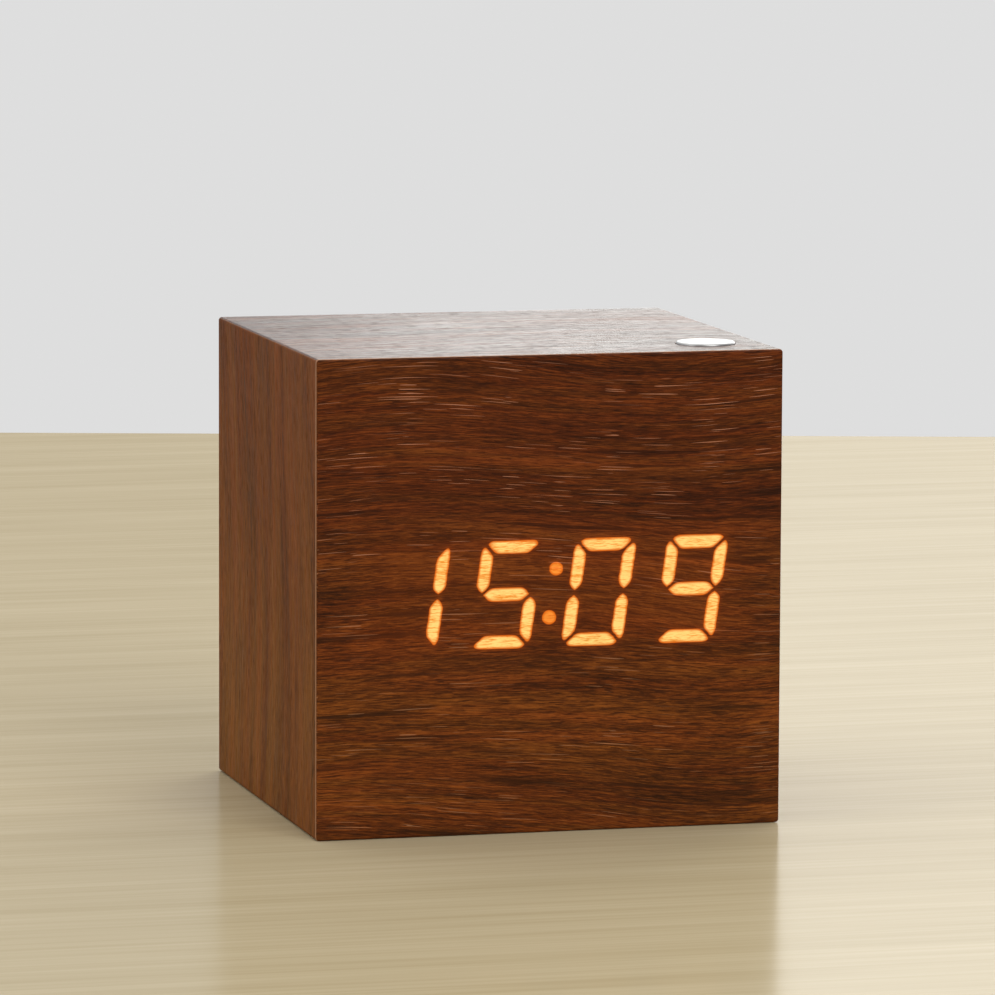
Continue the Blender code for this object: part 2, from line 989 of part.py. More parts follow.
def make_power_socket(plate, board_rear):
    """A small USB power socket that stands on the control board and faces the back."""
    mouth = PLATE_FACE - 0.4 * MM
    base = board_rear + GAP
    shell = prism(
        "power_socket_shell",
        [socket_outline(3.8 * MM, 1.45 * MM, 0.9 * MM)],
        "Y",
        base,
        mouth,
        STEEL,
    )
    cut(
        shell,
        prism(
            "power_socket_hollow",
            [socket_outline(3.45 * MM, 1.1 * MM, 0.7 * MM)],
            "Y",
            base + 4 * MM,
            mouth + 1 * MM,
        ),
    )
    box(
        "power_socket_tongue",
        (SOCKET_X - 2.6 * MM, base + 4 * MM + GAP, CONTROL_Z + 0.05 * MM),
        (SOCKET_X + 2.6 * MM, mouth - 0.8 * MM, CONTROL_Z + 0.75 * MM),
        WHITE_PLASTIC,
    )
    cut(
        plate,
        prism(
            "power_socket_aperture",
            [rounded_rectangle((SOCKET_X, CONTROL_Z), (4.4 * MM, 2.1 * MM), 0.9 * MM)],
            "Y",
            PLATE_FACE - 5 * MM,
            BACK + 1 * MM,
        ),
    )


def make_board_pieces():
    """What the control board carries on its inner side."""
    seat = BOARD_Y - GAP
    buzzer = turned(
        "buzzer",
        [
            (0, 4.5 * MM),
            (4.5 * MM, 4.5 * MM),
            (4.75 * MM, 4.2 * MM),
            (4.75 * MM, 0),
            (0, 0),
        ],
        (-10.5 * MM, seat, CONTROL_Z),
        "-Y",
        BLACK_PLASTIC,
        SIDES,
    )
    cut(
        buzzer,
        rod(
            "buzzer_mouth",
            (-10.5 * MM, seat - 3.2 * MM, CONTROL_Z),
            3 * MM,
            0.9 * MM,
            "-Y",
            None,
            FEW_SIDES,
        ),
    )
    box(
        "controller_chip",
        (-2 * MM, seat - 1.4 * MM, CONTROL_Z - 4 * MM),
        (6 * MM, seat, CONTROL_Z + 4 * MM),
        CHIP,
        eased=0.2 * MM,
    )
    rod(
        "timing_crystal",
        (9 * MM, seat - 1 * MM, CONTROL_Z + 3 * MM),
        6 * MM,
        1 * MM,
        "+X",
        SPRING_STEEL,
        FEW_SIDES,
    )


# ---------------------------------------------------------------- battery bay
def make_battery_bay():
    tray = box(
        "battery_tray",
        (-TRAY_HALF[0], -TRAY_HALF[1], TRAY_LOW),
        (TRAY_HALF[0], TRAY_HALF[1], TRAY_HIGH),
        BLACK_PLASTIC,
    )
    inner = (TRAY_HALF[0] - TRAY_WALL, TRAY_HALF[1] - TRAY_WALL)
    cut(
        tray,
        box(
            "tray_hollow",
            (-inner[0], -inner[1], -1 * MM),
            (inner[0], inner[1], TRAY_HIGH - TRAY_WALL),
        ),
    )
    hinge_z = DOOR_LOW + DOOR_THICK / 2
    pin_radius = 0.45 * MM
    sockets = rod(
        "hinge_sockets",
        (DOOR_HINGE_X, -inner[1] - 0.8 * MM, hinge_z),
        2 * inner[1] + 1.6 * MM,
        pin_radius + SLIDE_GAP,
        "+Y",
        None,
        FEW_SIDES,
    )
    cut(tray, sockets)
    for side in (1, -1):
        tab_y = -side * CELL_PITCH
        x = side * (inner[0] - 0.5 * MM)
        cut(
            tray,
            box(
                f"tab_slot_{'right' if side > 0 else 'left'}",
                (x - 0.6 * MM, tab_y - 1.8 * MM, TRAY_HIGH - TRAY_WALL - 1 * MM),
                (x + 0.5 * MM, tab_y + 1.8 * MM, TRAY_HIGH + 1 * MM),
            ),
        )
    make_door(inner, hinge_z, pin_radius)
    make_cells()
    make_contacts()


def make_door(inner, hinge_z, pin_radius):
    """The battery door turns on two stub pins at its right end and snaps shut at its left."""
    latch_end = -inner[0] + GAP
    half_y = inner[1] - GAP
    top = DOOR_LOW + DOOR_THICK
    door = box(
        "battery_door",
        (latch_end, -half_y, DOOR_LOW),
        (DOOR_HINGE_X, half_y, top),
        BLACK_PLASTIC,
    )
    knuckle = rod(
        "door_knuckle",
        (DOOR_HINGE_X, -half_y, hinge_z),
        2 * half_y,
        DOOR_THICK / 2,
        "+Y",
        None,
        FEW_SIDES,
    )
    pins = rod(
        "door_pins",
        (DOOR_HINGE_X, -inner[1] - 0.5 * MM, hinge_z),
        2 * inner[1] + 1 * MM,
        pin_radius,
        "+Y",
        None,
        FEW_SIDES,
    )
    hook = box(
        "door_hook",
        (latch_end + 0.1 * MM, -2.8 * MM, top - 0.5 * MM),
        (latch_end + 0.9 * MM, 2.8 * MM, top + 1 * MM),
    )
    fuse(door, knuckle, pins, hook)
    slots = []
    for side in (-1, 1):
        y = side * 4 * MM
        slots.append(
            (
                (latch_end - 1 * MM, y - 0.3 * MM, DOOR_LOW - 1 * MM),
                (latch_end + 7 * MM, y + 0.3 * MM, top + 1 * MM),
            )
        )
    grooves = []
    for number in range(3):
        x = latch_end + (1.8 + 1.6 * number) * MM
        grooves.append(
            (
                (x, -3 * MM, DOOR_LOW - 1 * MM),
                (x + 0.7 * MM, 3 * MM, DOOR_LOW + 0.4 * MM),
            )
        )
    cut(door, boxes("latch_slots", slots), boxes("grip_grooves", grooves))


def cell_places():
    """Each cell's Y and the side its positive end faces: they alternate, so that they join in series."""
    return [(-CELL_PITCH, 1), (0, -1), (CELL_PITCH, 1)]


def make_cells():
    nub = 0.8 * MM
    ease = 0.3 * MM
    profile = [
        (0, CELL_LENGTH),
        (1.9 * MM, CELL_LENGTH),
        (1.9 * MM, CELL_LENGTH - nub),
        (CELL_RADIUS - ease, CELL_LENGTH - nub),
        (CELL_RADIUS, CELL_LENGTH - nub - ease),
        (CELL_RADIUS, ease),
        (CELL_RADIUS - ease, 0),
        (0, 0),
    ]
    flat_end = CONTACT_X - CONTACT_THICK - GAP - CELL_LENGTH
    for number, (y, side) in enumerate(cell_places(), 1):
        turned(
            f"battery_cell_{number}",
            profile,
            (side * flat_end, y, CELL_Z),
            "+X" if side > 0 else "-X",
            CELL_JACKET,
            20,
        )


def contact_spring(name, side, y):
    """A cone of wire from a contact towards a cell's flat end."""
    turns = 2.5
    steps_per_turn = 12
    wire = 0.28 * MM
    face = CONTACT_X - CONTACT_THICK
    cell_end = CELL_LENGTH + GAP - face  # how far out the cell's flat end is
    start = face + 0.1 * MM
    end = cell_end + wire + GAP
    count = int(turns * steps_per_turn)
    points = []
    for i in range(count + 1):
        share = i / count
        angle = 2 * math.pi * turns * share
        radius = (3.4 - 1.3 * share) * MM
        points.append(
            (
                side * (start + (end - start) * share),
                y + radius * math.cos(angle),
                CELL_Z + radius * math.sin(angle),
            )
        )
    return round_wire(name, points, wire, None, 1)


def make_contacts():
    """Four pressed contacts join the cells in series: two links, and two ends with a solder tab."""
    low = CELL_Z - 4.2 * MM
    high = CELL_Z + 4.2 * MM
    edge = CELL_PITCH + 4.2 * MM
    tab_top = TRAY_HIGH + 2 * MM
    tab = 1.5 * MM

    def plate(name, side, y_low, y_high, tab_y=None):
        outline = [(y_low, low), (y_high, low), (y_high, high)]
        if tab_y is not None:
            outline += [
                (tab_y + tab, high),
                (tab_y + tab, tab_top),
                (tab_y - tab, tab_top),
                (tab_y - tab, high),
            ]
        outline.append((y_low, high))
        faces = sorted((side * (CONTACT_X - CONTACT_THICK), side * CONTACT_X))
        return prism(name, [outline], "X", *faces, SPRING_STEEL)

    plate("positive_contact", 1, -edge, -CELL_PITCH + 4.2 * MM, -CELL_PITCH)
    right_link = plate("right_contact_link", 1, -4.2 * MM, edge)
    left_link = plate("left_contact_link", -1, -edge, 4.2 * MM)
    negative = plate("negative_contact", -1, CELL_PITCH - 4.2 * MM, edge, CELL_PITCH)
    fuse(right_link, contact_spring("right_spring", 1, 0))
    fuse(left_link, contact_spring("left_spring", -1, -CELL_PITCH))
    fuse(negative, contact_spring("negative_spring", -1, CELL_PITCH))


# ---------------------------------------------------------------- wiring
def make_wiring():
    solder_y = BOARD_Y - GAP
    tab_x = CONTACT_X - CONTACT_THICK / 2
    tab_z = TRAY_HIGH + 2 * MM + GAP
    for name, side, finish in (
        ("positive_wire", 1, RED_WIRE),
        ("negative_wire", -1, BLACK_WIRE),
    ):
        tab_y = -side * CELL_PITCH
        waypoints = [
            Vector((side * tab_x, tab_y, tab_z)),
            Vector((side * tab_x, tab_y, tab_z + 2.5 * MM)),
            Vector((side * 22.5 * MM, (tab_y + 6 * MM) / 2, tab_z + 5.5 * MM)),
            Vector((side * 19 * MM, 11.5 * MM, 21.5 * MM)),
            Vector((side * 18.3 * MM, solder_y, 21 * MM)),
        ]
        round_wire(name, smooth_route(waypoints, 1.6 * MM), 0.55 * MM, finish)

    waypoints = [
        Vector((20 * MM, BUTTON_Y + 4.8 * MM, 51.2 * MM)),
        Vector((20 * MM, -10 * MM, 51 * MM)),
        Vector((19.6 * MM, -1 * MM, 46 * MM)),
        Vector((18.6 * MM, 8 * MM, 37 * MM)),
        Vector((18 * MM, 12.5 * MM, 33.6 * MM)),
        Vector((18 * MM, solder_y, 33 * MM)),
    ]
    round_wire("top_switch_cable", smooth_route(waypoints, 2 * MM), 0.7 * MM, GREY_WIRE)
    make_ribbon(solder_y)


def make_ribbon(solder_y):
    """The flat cable from the display board to the control board."""
    half_width = 5 * MM
    waypoints = [
        Vector((0, -19.2 * MM, 38 * MM)),
        Vector((0, -15 * MM, 38.4 * MM)),
        Vector((0, -7 * MM, 35.5 * MM)),
        Vector((0, 3 * MM, 33 * MM)),
        Vector((0, 11 * MM, 34 * MM)),
        Vector((0, solder_y, 34.2 * MM)),
    ]
    centre = smooth_route(waypoints, 1.8 * MM)
    bm = bmesh.new()
    rows = [
        [bm.verts.new((side * half_width, p.y, p.z)) for side in (-1, 1)]
        for p in centre
    ]
    for before, after in zip(rows, rows[1:], strict=False):
        bm.faces.new((before[0], before[1], after[1], after[0]))
    mesh = bpy.data.meshes.new("display_ribbon")
    bm.to_mesh(mesh)
    bm.free()
    ribbon = place("display_ribbon", mesh, GREY_WIRE)
    thicken = ribbon.modifiers.new("thickness", "SOLIDIFY")
    thicken.thickness = 0.5 * MM
    thicken.offset = 0


# ---------------------------------------------------------------- the clock
case_boards = make_case()
make_back()
make_display()
make_top_button(case_boards["top_board"])
make_controls()
make_battery_bay()
make_wiring()
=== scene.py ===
import json
import math

import bmesh
import bpy
from mathutils import Euler, Matrix, Vector


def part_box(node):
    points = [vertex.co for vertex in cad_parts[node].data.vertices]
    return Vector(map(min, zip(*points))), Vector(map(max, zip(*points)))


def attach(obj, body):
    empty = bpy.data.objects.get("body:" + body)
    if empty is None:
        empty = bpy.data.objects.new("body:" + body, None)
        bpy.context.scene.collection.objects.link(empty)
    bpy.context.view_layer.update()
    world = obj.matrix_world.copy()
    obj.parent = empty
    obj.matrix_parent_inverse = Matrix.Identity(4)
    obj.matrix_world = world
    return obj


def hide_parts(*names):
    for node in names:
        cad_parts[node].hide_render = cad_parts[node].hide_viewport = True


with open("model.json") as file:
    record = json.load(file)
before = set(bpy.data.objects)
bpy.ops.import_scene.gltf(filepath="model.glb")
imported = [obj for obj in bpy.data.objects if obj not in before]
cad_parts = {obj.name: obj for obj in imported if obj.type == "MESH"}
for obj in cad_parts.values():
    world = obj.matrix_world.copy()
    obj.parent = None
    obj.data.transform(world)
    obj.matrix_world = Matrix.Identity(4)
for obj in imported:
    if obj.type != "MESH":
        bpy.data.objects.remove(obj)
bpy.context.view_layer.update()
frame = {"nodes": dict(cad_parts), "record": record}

MM = 0.001

# -------- sizes, in metres
FRONT_LOW, FRONT_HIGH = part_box("front_veneer")
LEFT = FRONT_LOW.x
RIGHT = FRONT_HIGH.x
FRONT = FRONT_LOW.y
HEIGHT = FRONT_HIGH.z
SHEET_BACK = FRONT_HIGH.y
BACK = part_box("top_board")[1].y
MIDDLE_Z = HEIGHT / 2
BOARD = 4 * MM
ARRIS = 0.45 * MM  # the round on the case's long edges
HAIRLINE = 0.08 * MM  # what is left between two closely fitted pieces
PAST = 1 * MM  # how far a cutting shape reaches past the piece that it cuts

# the display, whose lit time sits where the solid reflector is
REFLECTOR_LOW, REFLECTOR_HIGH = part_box("display_reflector")
DISPLAY_X = (REFLECTOR_LOW.x + REFLECTOR_HIGH.x) / 2
DISPLAY_Z = (REFLECTOR_LOW.z + REFLECTOR_HIGH.z) / 2
TIME = "1509"
LIT = {"0": "abcdef", "1": "bc", "5": "acdfg", "9": "abcdfg"}
DIGIT_PITCH = 12.75  # this group is in millimetres, as the display's recipe works in them
DIGIT_HEIGHT = 14.5
DIGIT_WIDTH = 8.6
SEGMENT = 1.82
SEGMENT_GAP = 0.32
CORNER_CUT = 1.15
SLANT = math.tan(math.radians(8.3))
SOFT_CORNER = 0.7  # over what distance a lit segment's corners are rounded
WIDE_CORNER = 4.0  # the same for the glow round the whole display
BLUNT_TIP = 0.22  # how far an upright segment's tip stays from the middle line
COLON_RISE = 3.25
COLON_RADIUS = 0.95
TIME_RISE = -0.06  # how far the lit time sits off the reflector's middle
FAR_OFF = 50.0  # put on the distance of a segment that isn't lit

PLATE_LOW, PLATE_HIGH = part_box("control_plate")
BACK_SCREWS = [f"back_screw_{number}" for number in range(1, 5)]
KEYS = ("set", "up", "down")
KEY_RADIUS = 2.6 * MM

TRAY_WALL = 1.2 * MM
CELL_PITCH = 11 * MM
HINGE = (23.6 * MM, 0, 1.2 * MM)  # where the battery door's axis passes


def measured(name):
    """The lowest corner, the highest corner and the middle of a solid."""
    low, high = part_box(name)
    return low, high, (low + high) / 2


# -------- recipes for the finishes
def feed(tree, socket, value):
    """Joins a socket to the one that is given, or sets it to a plain value."""
    if isinstance(value, bpy.types.NodeSocket):
        tree.links.new(value, socket)
    else:
        socket.default_value = value


def add_node(tree, kind, inputs=(), **settings):
    """Adds a node and feeds its inputs, which are given by name or by number."""
    node = tree.nodes.new(kind)
    for name, value in settings.items():
        setattr(node, name, value)
    for key, value in dict(inputs).items():
        feed(tree, node.inputs[key], value)
    return node


class Recipe:
    """A finish being mixed: a short way to add shader nodes and to join them."""

    def __init__(self, name, roughness=0.5, metallic=0.0, gloss_level=0.5):
        self.material = bpy.data.materials.new(name)
        self.material.use_nodes = True
        self.tree = self.material.node_tree
        self.shader = self.tree.nodes["Principled BSDF"]
        self.feed("Roughness", roughness)
        self.feed("Metallic", metallic)
        self.feed("Specular IOR Level", gloss_level)
        place = self.add("ShaderNodeTexCoord").outputs["Object"]
        self.place = self.vector("MULTIPLY", place, (1000, 1000, 1000))

    def feed(self, name, value):
        feed(self.tree, self.shader.inputs[name], value)

    def add(self, kind, inputs=(), **settings):
        return add_node(self.tree, kind, inputs, **settings)

    def math(self, operation, a, b=0.0, c=0.0, clamp=False):
        values = {0: a, 1: b, 2: c}
        return self.add("ShaderNodeMath", values, operation=operation, use_clamp=clamp).outputs[0]

    def times(self, a, b, clamp=False):
        return self.math("MULTIPLY", a, b, clamp=clamp)

    def times_plus(self, a, b, c):
        return self.math("MULTIPLY_ADD", a, b, c)

    def minus(self, a, b):
        return self.math("SUBTRACT", a, b)

    def absolute(self, a):
        return self.math("ABSOLUTE", a)

    def length(self, u, v):
        return self.math("SQRT", self.times_plus(u, u, self.times(v, v)))

    def weigh(self, a, share, b):
        """A share of the first and the rest of the second."""
        return self.times_plus(a, share, self.times(b, 1 - share))

    def vector(self, operation, a, b=(0, 0, 0), c=(0, 0, 0)):
        values = {0: a, 1: b, 2: c}
        return self.add("ShaderNodeVectorMath", values, operation=operation).outputs["Vector"]

    def split(self, vector):
        return tuple(self.add("ShaderNodeSeparateXYZ", {0: vector}).outputs)

    def join(self, x, y, z):
        return self.add("ShaderNodeCombineXYZ", {0: x, 1: y, 2: z}).outputs[0]

    def noise(self, vector, size, detail=2.0, roughness=0.5, shift=0.0):
        """Noise whose grains have this size: one number, or one each for the vector's x, y and z."""
        sizes = size if isinstance(size, tuple) else (size, size, size)
        scales = tuple(1 / s for s in sizes)
        scaled = self.vector("MULTIPLY_ADD", vector, scales, (shift, shift * 0.7, shift * 1.3))
        inputs = {"Vector": scaled, "Scale": 1.0, "Detail": detail, "Roughness": roughness}
        return self.add("ShaderNodeTexNoise", inputs).outputs["Fac"]

    def rise(self, value, low, high, out_low=0.0, out_high=1.0):
        """Goes smoothly from out_low, where the value is low, to out_high, where it is high."""
        inputs = dict(enumerate((value, low, high, out_low, out_high)))
        return self.add("ShaderNodeMapRange", inputs, interpolation_type="SMOOTHSTEP").outputs[0]

    def mix(self, factor, a, b):
        a, b = ((*c, 1) if isinstance(c, tuple) else c for c in (a, b))
        return self.add("ShaderNodeMix", {0: factor, 6: a, 7: b}, data_type="RGBA").outputs[2]

    def ramp(self, factor, stops):
        node = self.add("ShaderNodeValToRGB", {0: factor})
        elements = node.color_ramp.elements
        while len(elements) < len(stops):
            elements.new(0.5)
        for element, (at, colour) in zip(elements, stops, strict=True):
            element.position = at
            element.color = (*colour, 1)
        return node.outputs[0]

    def shine(self, colour):
        """Gives off light of this colour."""
        self.feed("Emission Color", colour)
        self.feed("Emission Strength", 1.0)

    def finish(self, colour, roughness=None, height=None, depth=0.02 * MM):
        """Joins the results to the shader. The height is in shares of the depth."""
        self.feed("Base Color", colour)
        if roughness is not None:
            self.feed("Roughness", roughness)
        if height is not None:
            bump = self.add("ShaderNodeBump", {"Height": height, "Distance": depth})
            self.feed("Normal", bump.outputs[0])
        return self.material


# -------- walnut
# how long, wide and deep each mark of the figure is, in millimetres
ARCHES = (60, 30, 30)
SWAYS = (13, 3, 3)
RINGS = (60, 5.0, 5.0)
STREAKS = (14, 0.6, 0.6)
FIBRES = (2.0, 0.11, 0.11)
FLAMES = (24, 1.0, 1.0)
HUES = (34, 1.8, 1.8)
LINES = (8, 0.13, 0.13)
DASHES = (2.0, 0.12, 0.12)
# the painted glints on the pore lines
GLINT_LINES = (7, 0.16, 0.16)
GATHERINGS = (22, 5, 5)
ARCH_BEND = 14.0
SWAY_BEND = 0.45

DARK_WALNUT = (0.028, 0.0080, 0.0022)
MID_WALNUT = (0.124, 0.0282, 0.0044)
RED_WALNUT = (0.262, 0.0660, 0.0100)
# the colour of the painted glints on the pore lines, which stand in for their shine
PORE_GLINT = (0.54, 0.25, 0.12)
# the pale colour of cut and worn edges, also standing in for a painted highlight on the eased edges
CUT_EDGE_AND_HIGHLIGHT = (0.36, 0.17, 0.08)
OLIVE_TURN = (0.93, 1.07, 1.04)
# painted light and shade: the front and sides are painted paler and yellower low down, and darker and
# redder above, for how the light falls on them
FRONT_PAINTED_SHADING = ((1.32, 1.33, 1.25), (0.95, 0.85, 0.95))
SIDE_PAINTED_SHADING = ((1.02, 1.30, 1.5), (0.89, 0.99, 1.05))


def grain_space(recipe, along, across):
    """The place turned so that its X runs along the grain, and bent a little, as growth rings are."""
    axes = dict(zip("XYZ", recipe.split(recipe.place), strict=True))
    depth = next(axis for axis in "XYZ" if axis not in (along, across))
    flat = recipe.join(axes[along], axes[across], axes[depth])
    arch = recipe.noise(flat, ARCHES, 0.0, 0.4, 3.1)
    sway = recipe.noise(flat, SWAYS, 1.0, 0.5, 8.7)
    bend = recipe.times(recipe.minus(arch, 0.5), ARCH_BEND)
    bend = recipe.times_plus(recipe.minus(sway, 0.5), SWAY_BEND, bend)
    return recipe.join(axes[along], recipe.math("ADD", axes[across], bend), axes[depth])


def walnut(recipe, along, across, shift, lift=0.0, dark=1.0, pale=1.0, glint_area=None, gloss=0.30):
    """Walnut's figure: rings, streaks, fibres and dark pores, with painted glints on pore lines for
    their shine.

    The lift pales the whole tone, dark sets the strength of the dark pores and pale that of the
    painted glints, and the glint area, if there is one, says where the painted glints lie.
    """
    grain = grain_space(recipe, along, across)
    rings = recipe.noise(grain, RINGS, 3.0, 0.5, shift)
    streaks = recipe.noise(grain, STREAKS, 3.0, 0.6, shift + 5)
    fibres = recipe.noise(grain, FIBRES, 3.0, 0.72, shift + 9)
    tone = recipe.times_plus(rings, 0.24, lift)
    tone = recipe.times_plus(streaks, 0.24, tone)
    tone = recipe.times_plus(fibres, 0.52, tone)
    colour = recipe.ramp(tone, [(0.39, DARK_WALNUT), (0.50, MID_WALNUT), (0.61, RED_WALNUT)])
    flames = recipe.rise(recipe.noise(grain, FLAMES, 1.0, 0.5, shift + 44), 0.61, 0.74)
    colour = recipe.mix(recipe.times(flames, 0.75 * dark), colour, DARK_WALNUT)
    hue = recipe.rise(recipe.noise(grain, HUES, 2.0, 0.5, shift + 37), 0.40, 0.62)
    colour = recipe.mix(hue, colour, recipe.vector("MULTIPLY", colour, OLIVE_TURN))
    lines = recipe.rise(recipe.noise(grain, LINES, 1.0, 0.5, shift + 17), 0.60, 0.68)
    dashes = recipe.rise(recipe.noise(grain, DASHES, 0.0, 0.5, shift + 14), 0.61, 0.68)
    dark_pores = recipe.math("MAXIMUM", recipe.times(lines, 0.8), dashes)
    colour = recipe.mix(recipe.times(dark_pores, 0.65 * dark), colour, DARK_WALNUT)
    # painted highlight: pale lines on the pores stand in for their shine, gathered in patches
    glint_lines = recipe.noise(grain, GLINT_LINES, 0.0, 0.5, shift + 21)
    pore_glints = recipe.rise(glint_lines, 0.735, 0.75)
    gathering = recipe.rise(recipe.noise(grain, GATHERINGS, 1.0, 0.5, shift + 30), 0.42, 0.58)
    pore_glints = recipe.times(pore_glints, gathering)
    if glint_area is not None:
        pore_glints = recipe.times(pore_glints, glint_area)
    pore_glints = recipe.times(pore_glints, 0.9 * pale, clamp=True)
    colour = recipe.mix(pore_glints, colour, PORE_GLINT)
    height = recipe.times_plus(dark_pores, -0.6 * dark, fibres)
    roughness = recipe.times_plus(fibres, 0.08, gloss - 0.12)
    roughness = recipe.times_plus(streaks, 0.32, roughness)
    roughness = recipe.times_plus(dark_pores, 0.30, roughness)
    return colour, roughness, height, streaks


def painted_shading_by_height(recipe, colour, turns, low, high):
    """Painted shading: the colour given its lower turn below one height and its upper turn above
    another.
    """
    lower, upper = (recipe.vector("MULTIPLY", colour, turn) for turn in turns)
    return recipe.mix(recipe.rise(recipe.split(recipe.place)[2], low, high), lower, upper)


def case_foil(name, along, across, shift, gloss_level=0.1, upright=False, **figure):
    """The walnut foil of one side of the case, paler on its eased edges: partly wear, partly a painted
    highlight.
    """
    recipe = Recipe(name, gloss_level=gloss_level)
    colour, roughness, height, _ = walnut(recipe, along, across, shift, **figure)
    x, _, z = recipe.split(recipe.place)
    # the upright sides get painted shading by height
    if upright:
        colour = painted_shading_by_height(recipe, colour, SIDE_PAINTED_SHADING, 4, 46)
    from_side = recipe.minus(RIGHT / MM, recipe.absolute(x))
    rise = recipe.absolute(recipe.minus(z, MIDDLE_Z / MM))
    from_end = recipe.minus(MIDDLE_Z / MM, rise)
    inset = recipe.math("MAXIMUM", from_side, from_end)
    # the eased edges are painted pale: partly wear, partly a painted highlight
    worn_and_highlight = recipe.rise(inset, 0.08, 0.22, 0.6, 0.0)
    colour = recipe.mix(worn_and_highlight, colour, CUT_EDGE_AND_HIGHLIGHT)
    return recipe.finish(colour, roughness, height, 0.012 * MM)


# -------- the lit time
def away_from_segment(recipe, letter, u, v):
    """How far a point of a digit is outside a segment, in millimetres. It is negative inside."""
    w = DIGIT_WIDTH / 2
    h = DIGIT_HEIGHT / 2
    t = SEGMENT
    k = SEGMENT_GAP / math.sqrt(2)
    root = math.sqrt(0.5)
    side = recipe.absolute(u) if letter in "adg" else u
    if letter in "ef":
        side = recipe.times(u, -1)
    up = recipe.times(v, -1) if letter in "cde" else v
    if letter == "g":
        up = recipe.absolute(v)
    total = recipe.math("ADD", side, up)
    lean = recipe.minus(side, up)
    if letter in "ad":
        walls = [
            recipe.minus(up, h),
            recipe.minus(h - t, up),
            recipe.times_plus(total, root, -(w + h - CORNER_CUT) * root),
            recipe.times_plus(lean, root, -(w - h - k) * root),
        ]
    elif letter == "g":
        walls = [
            recipe.minus(up, t / 2),
            recipe.times_plus(total, root, -(w - t / 2 - k) * root),
        ]
    else:
        off_centre = recipe.absolute(recipe.minus(side, w - t / 2))
        tip = recipe.minus(off_centre, up)
        walls = [
            recipe.minus(off_centre, t / 2),
            recipe.times_plus(total, root, -(w + h - CORNER_CUT) * root),
            recipe.times_plus(lean, -root, -(h - w - k) * root),
            recipe.times_plus(tip, root, k * root),
            recipe.minus(BLUNT_TIP, up),
        ]
    distance = walls[0]
    for wall in walls[1:]:
        distance = recipe.math("SMOOTH_MAX", distance, wall, SOFT_CORNER)
    return distance


def away_from_light(recipe):
    """How far a point of the front is from the lit segments, from the dots and from the display."""
    x, _, z = recipe.split(recipe.place)
    v = recipe.minus(z, DISPLAY_Z / MM + TIME_RISE)
    upright = recipe.times_plus(v, -SLANT, recipe.minus(x, DISPLAY_X / MM))
    cell = recipe.math("FLOOR", recipe.times_plus(upright, 1 / DIGIT_PITCH, 2))
    cell = recipe.math("MINIMUM", recipe.math("MAXIMUM", cell, 0), 3)
    from_middle = recipe.minus(cell, 1.5)
    u = recipe.times_plus(from_middle, -DIGIT_PITCH, upright)
    nearest = None
    for letter in "abcdefg":
        distance = away_from_segment(recipe, letter, u, v)
        for number, numeral in enumerate(TIME):
            if letter not in LIT[numeral]:
                unlit = recipe.math("COMPARE", cell, number, 0.1)
                distance = recipe.times_plus(unlit, FAR_OFF, distance)
        nearest = distance if nearest is None else recipe.math("MINIMUM", nearest, distance)
    from_dot = recipe.minus(recipe.absolute(v), COLON_RISE)
    rising = recipe.math("SIGN", v)
    centre = recipe.times_plus(rising, COLON_RISE * SLANT, DISPLAY_X / MM)
    sideways = recipe.minus(x, centre)
    reach = recipe.length(sideways, from_dot)
    past_side = recipe.minus(recipe.absolute(upright), 2 * DIGIT_PITCH)
    past_end = recipe.minus(recipe.absolute(v), DIGIT_HEIGHT / 2)
    past_display = recipe.math("SMOOTH_MAX", past_side, past_end, WIDE_CORNER)
    return nearest, recipe.minus(reach, COLON_RADIUS), past_display


SEGMENT_CORE = (1.05, 0.69, 0.20)
SEGMENT_GRAIN = (0.80, 0.27, 0.028)
SEGMENT_RIM = (0.66, 0.115, 0.002)
DOT_CORE = (0.90, 0.27, 0.03)
NEAR_GLOW = (0.085, 0.010, 0.0002)
WIDE_GLOW = (0.034, 0.0052, 0.0002)


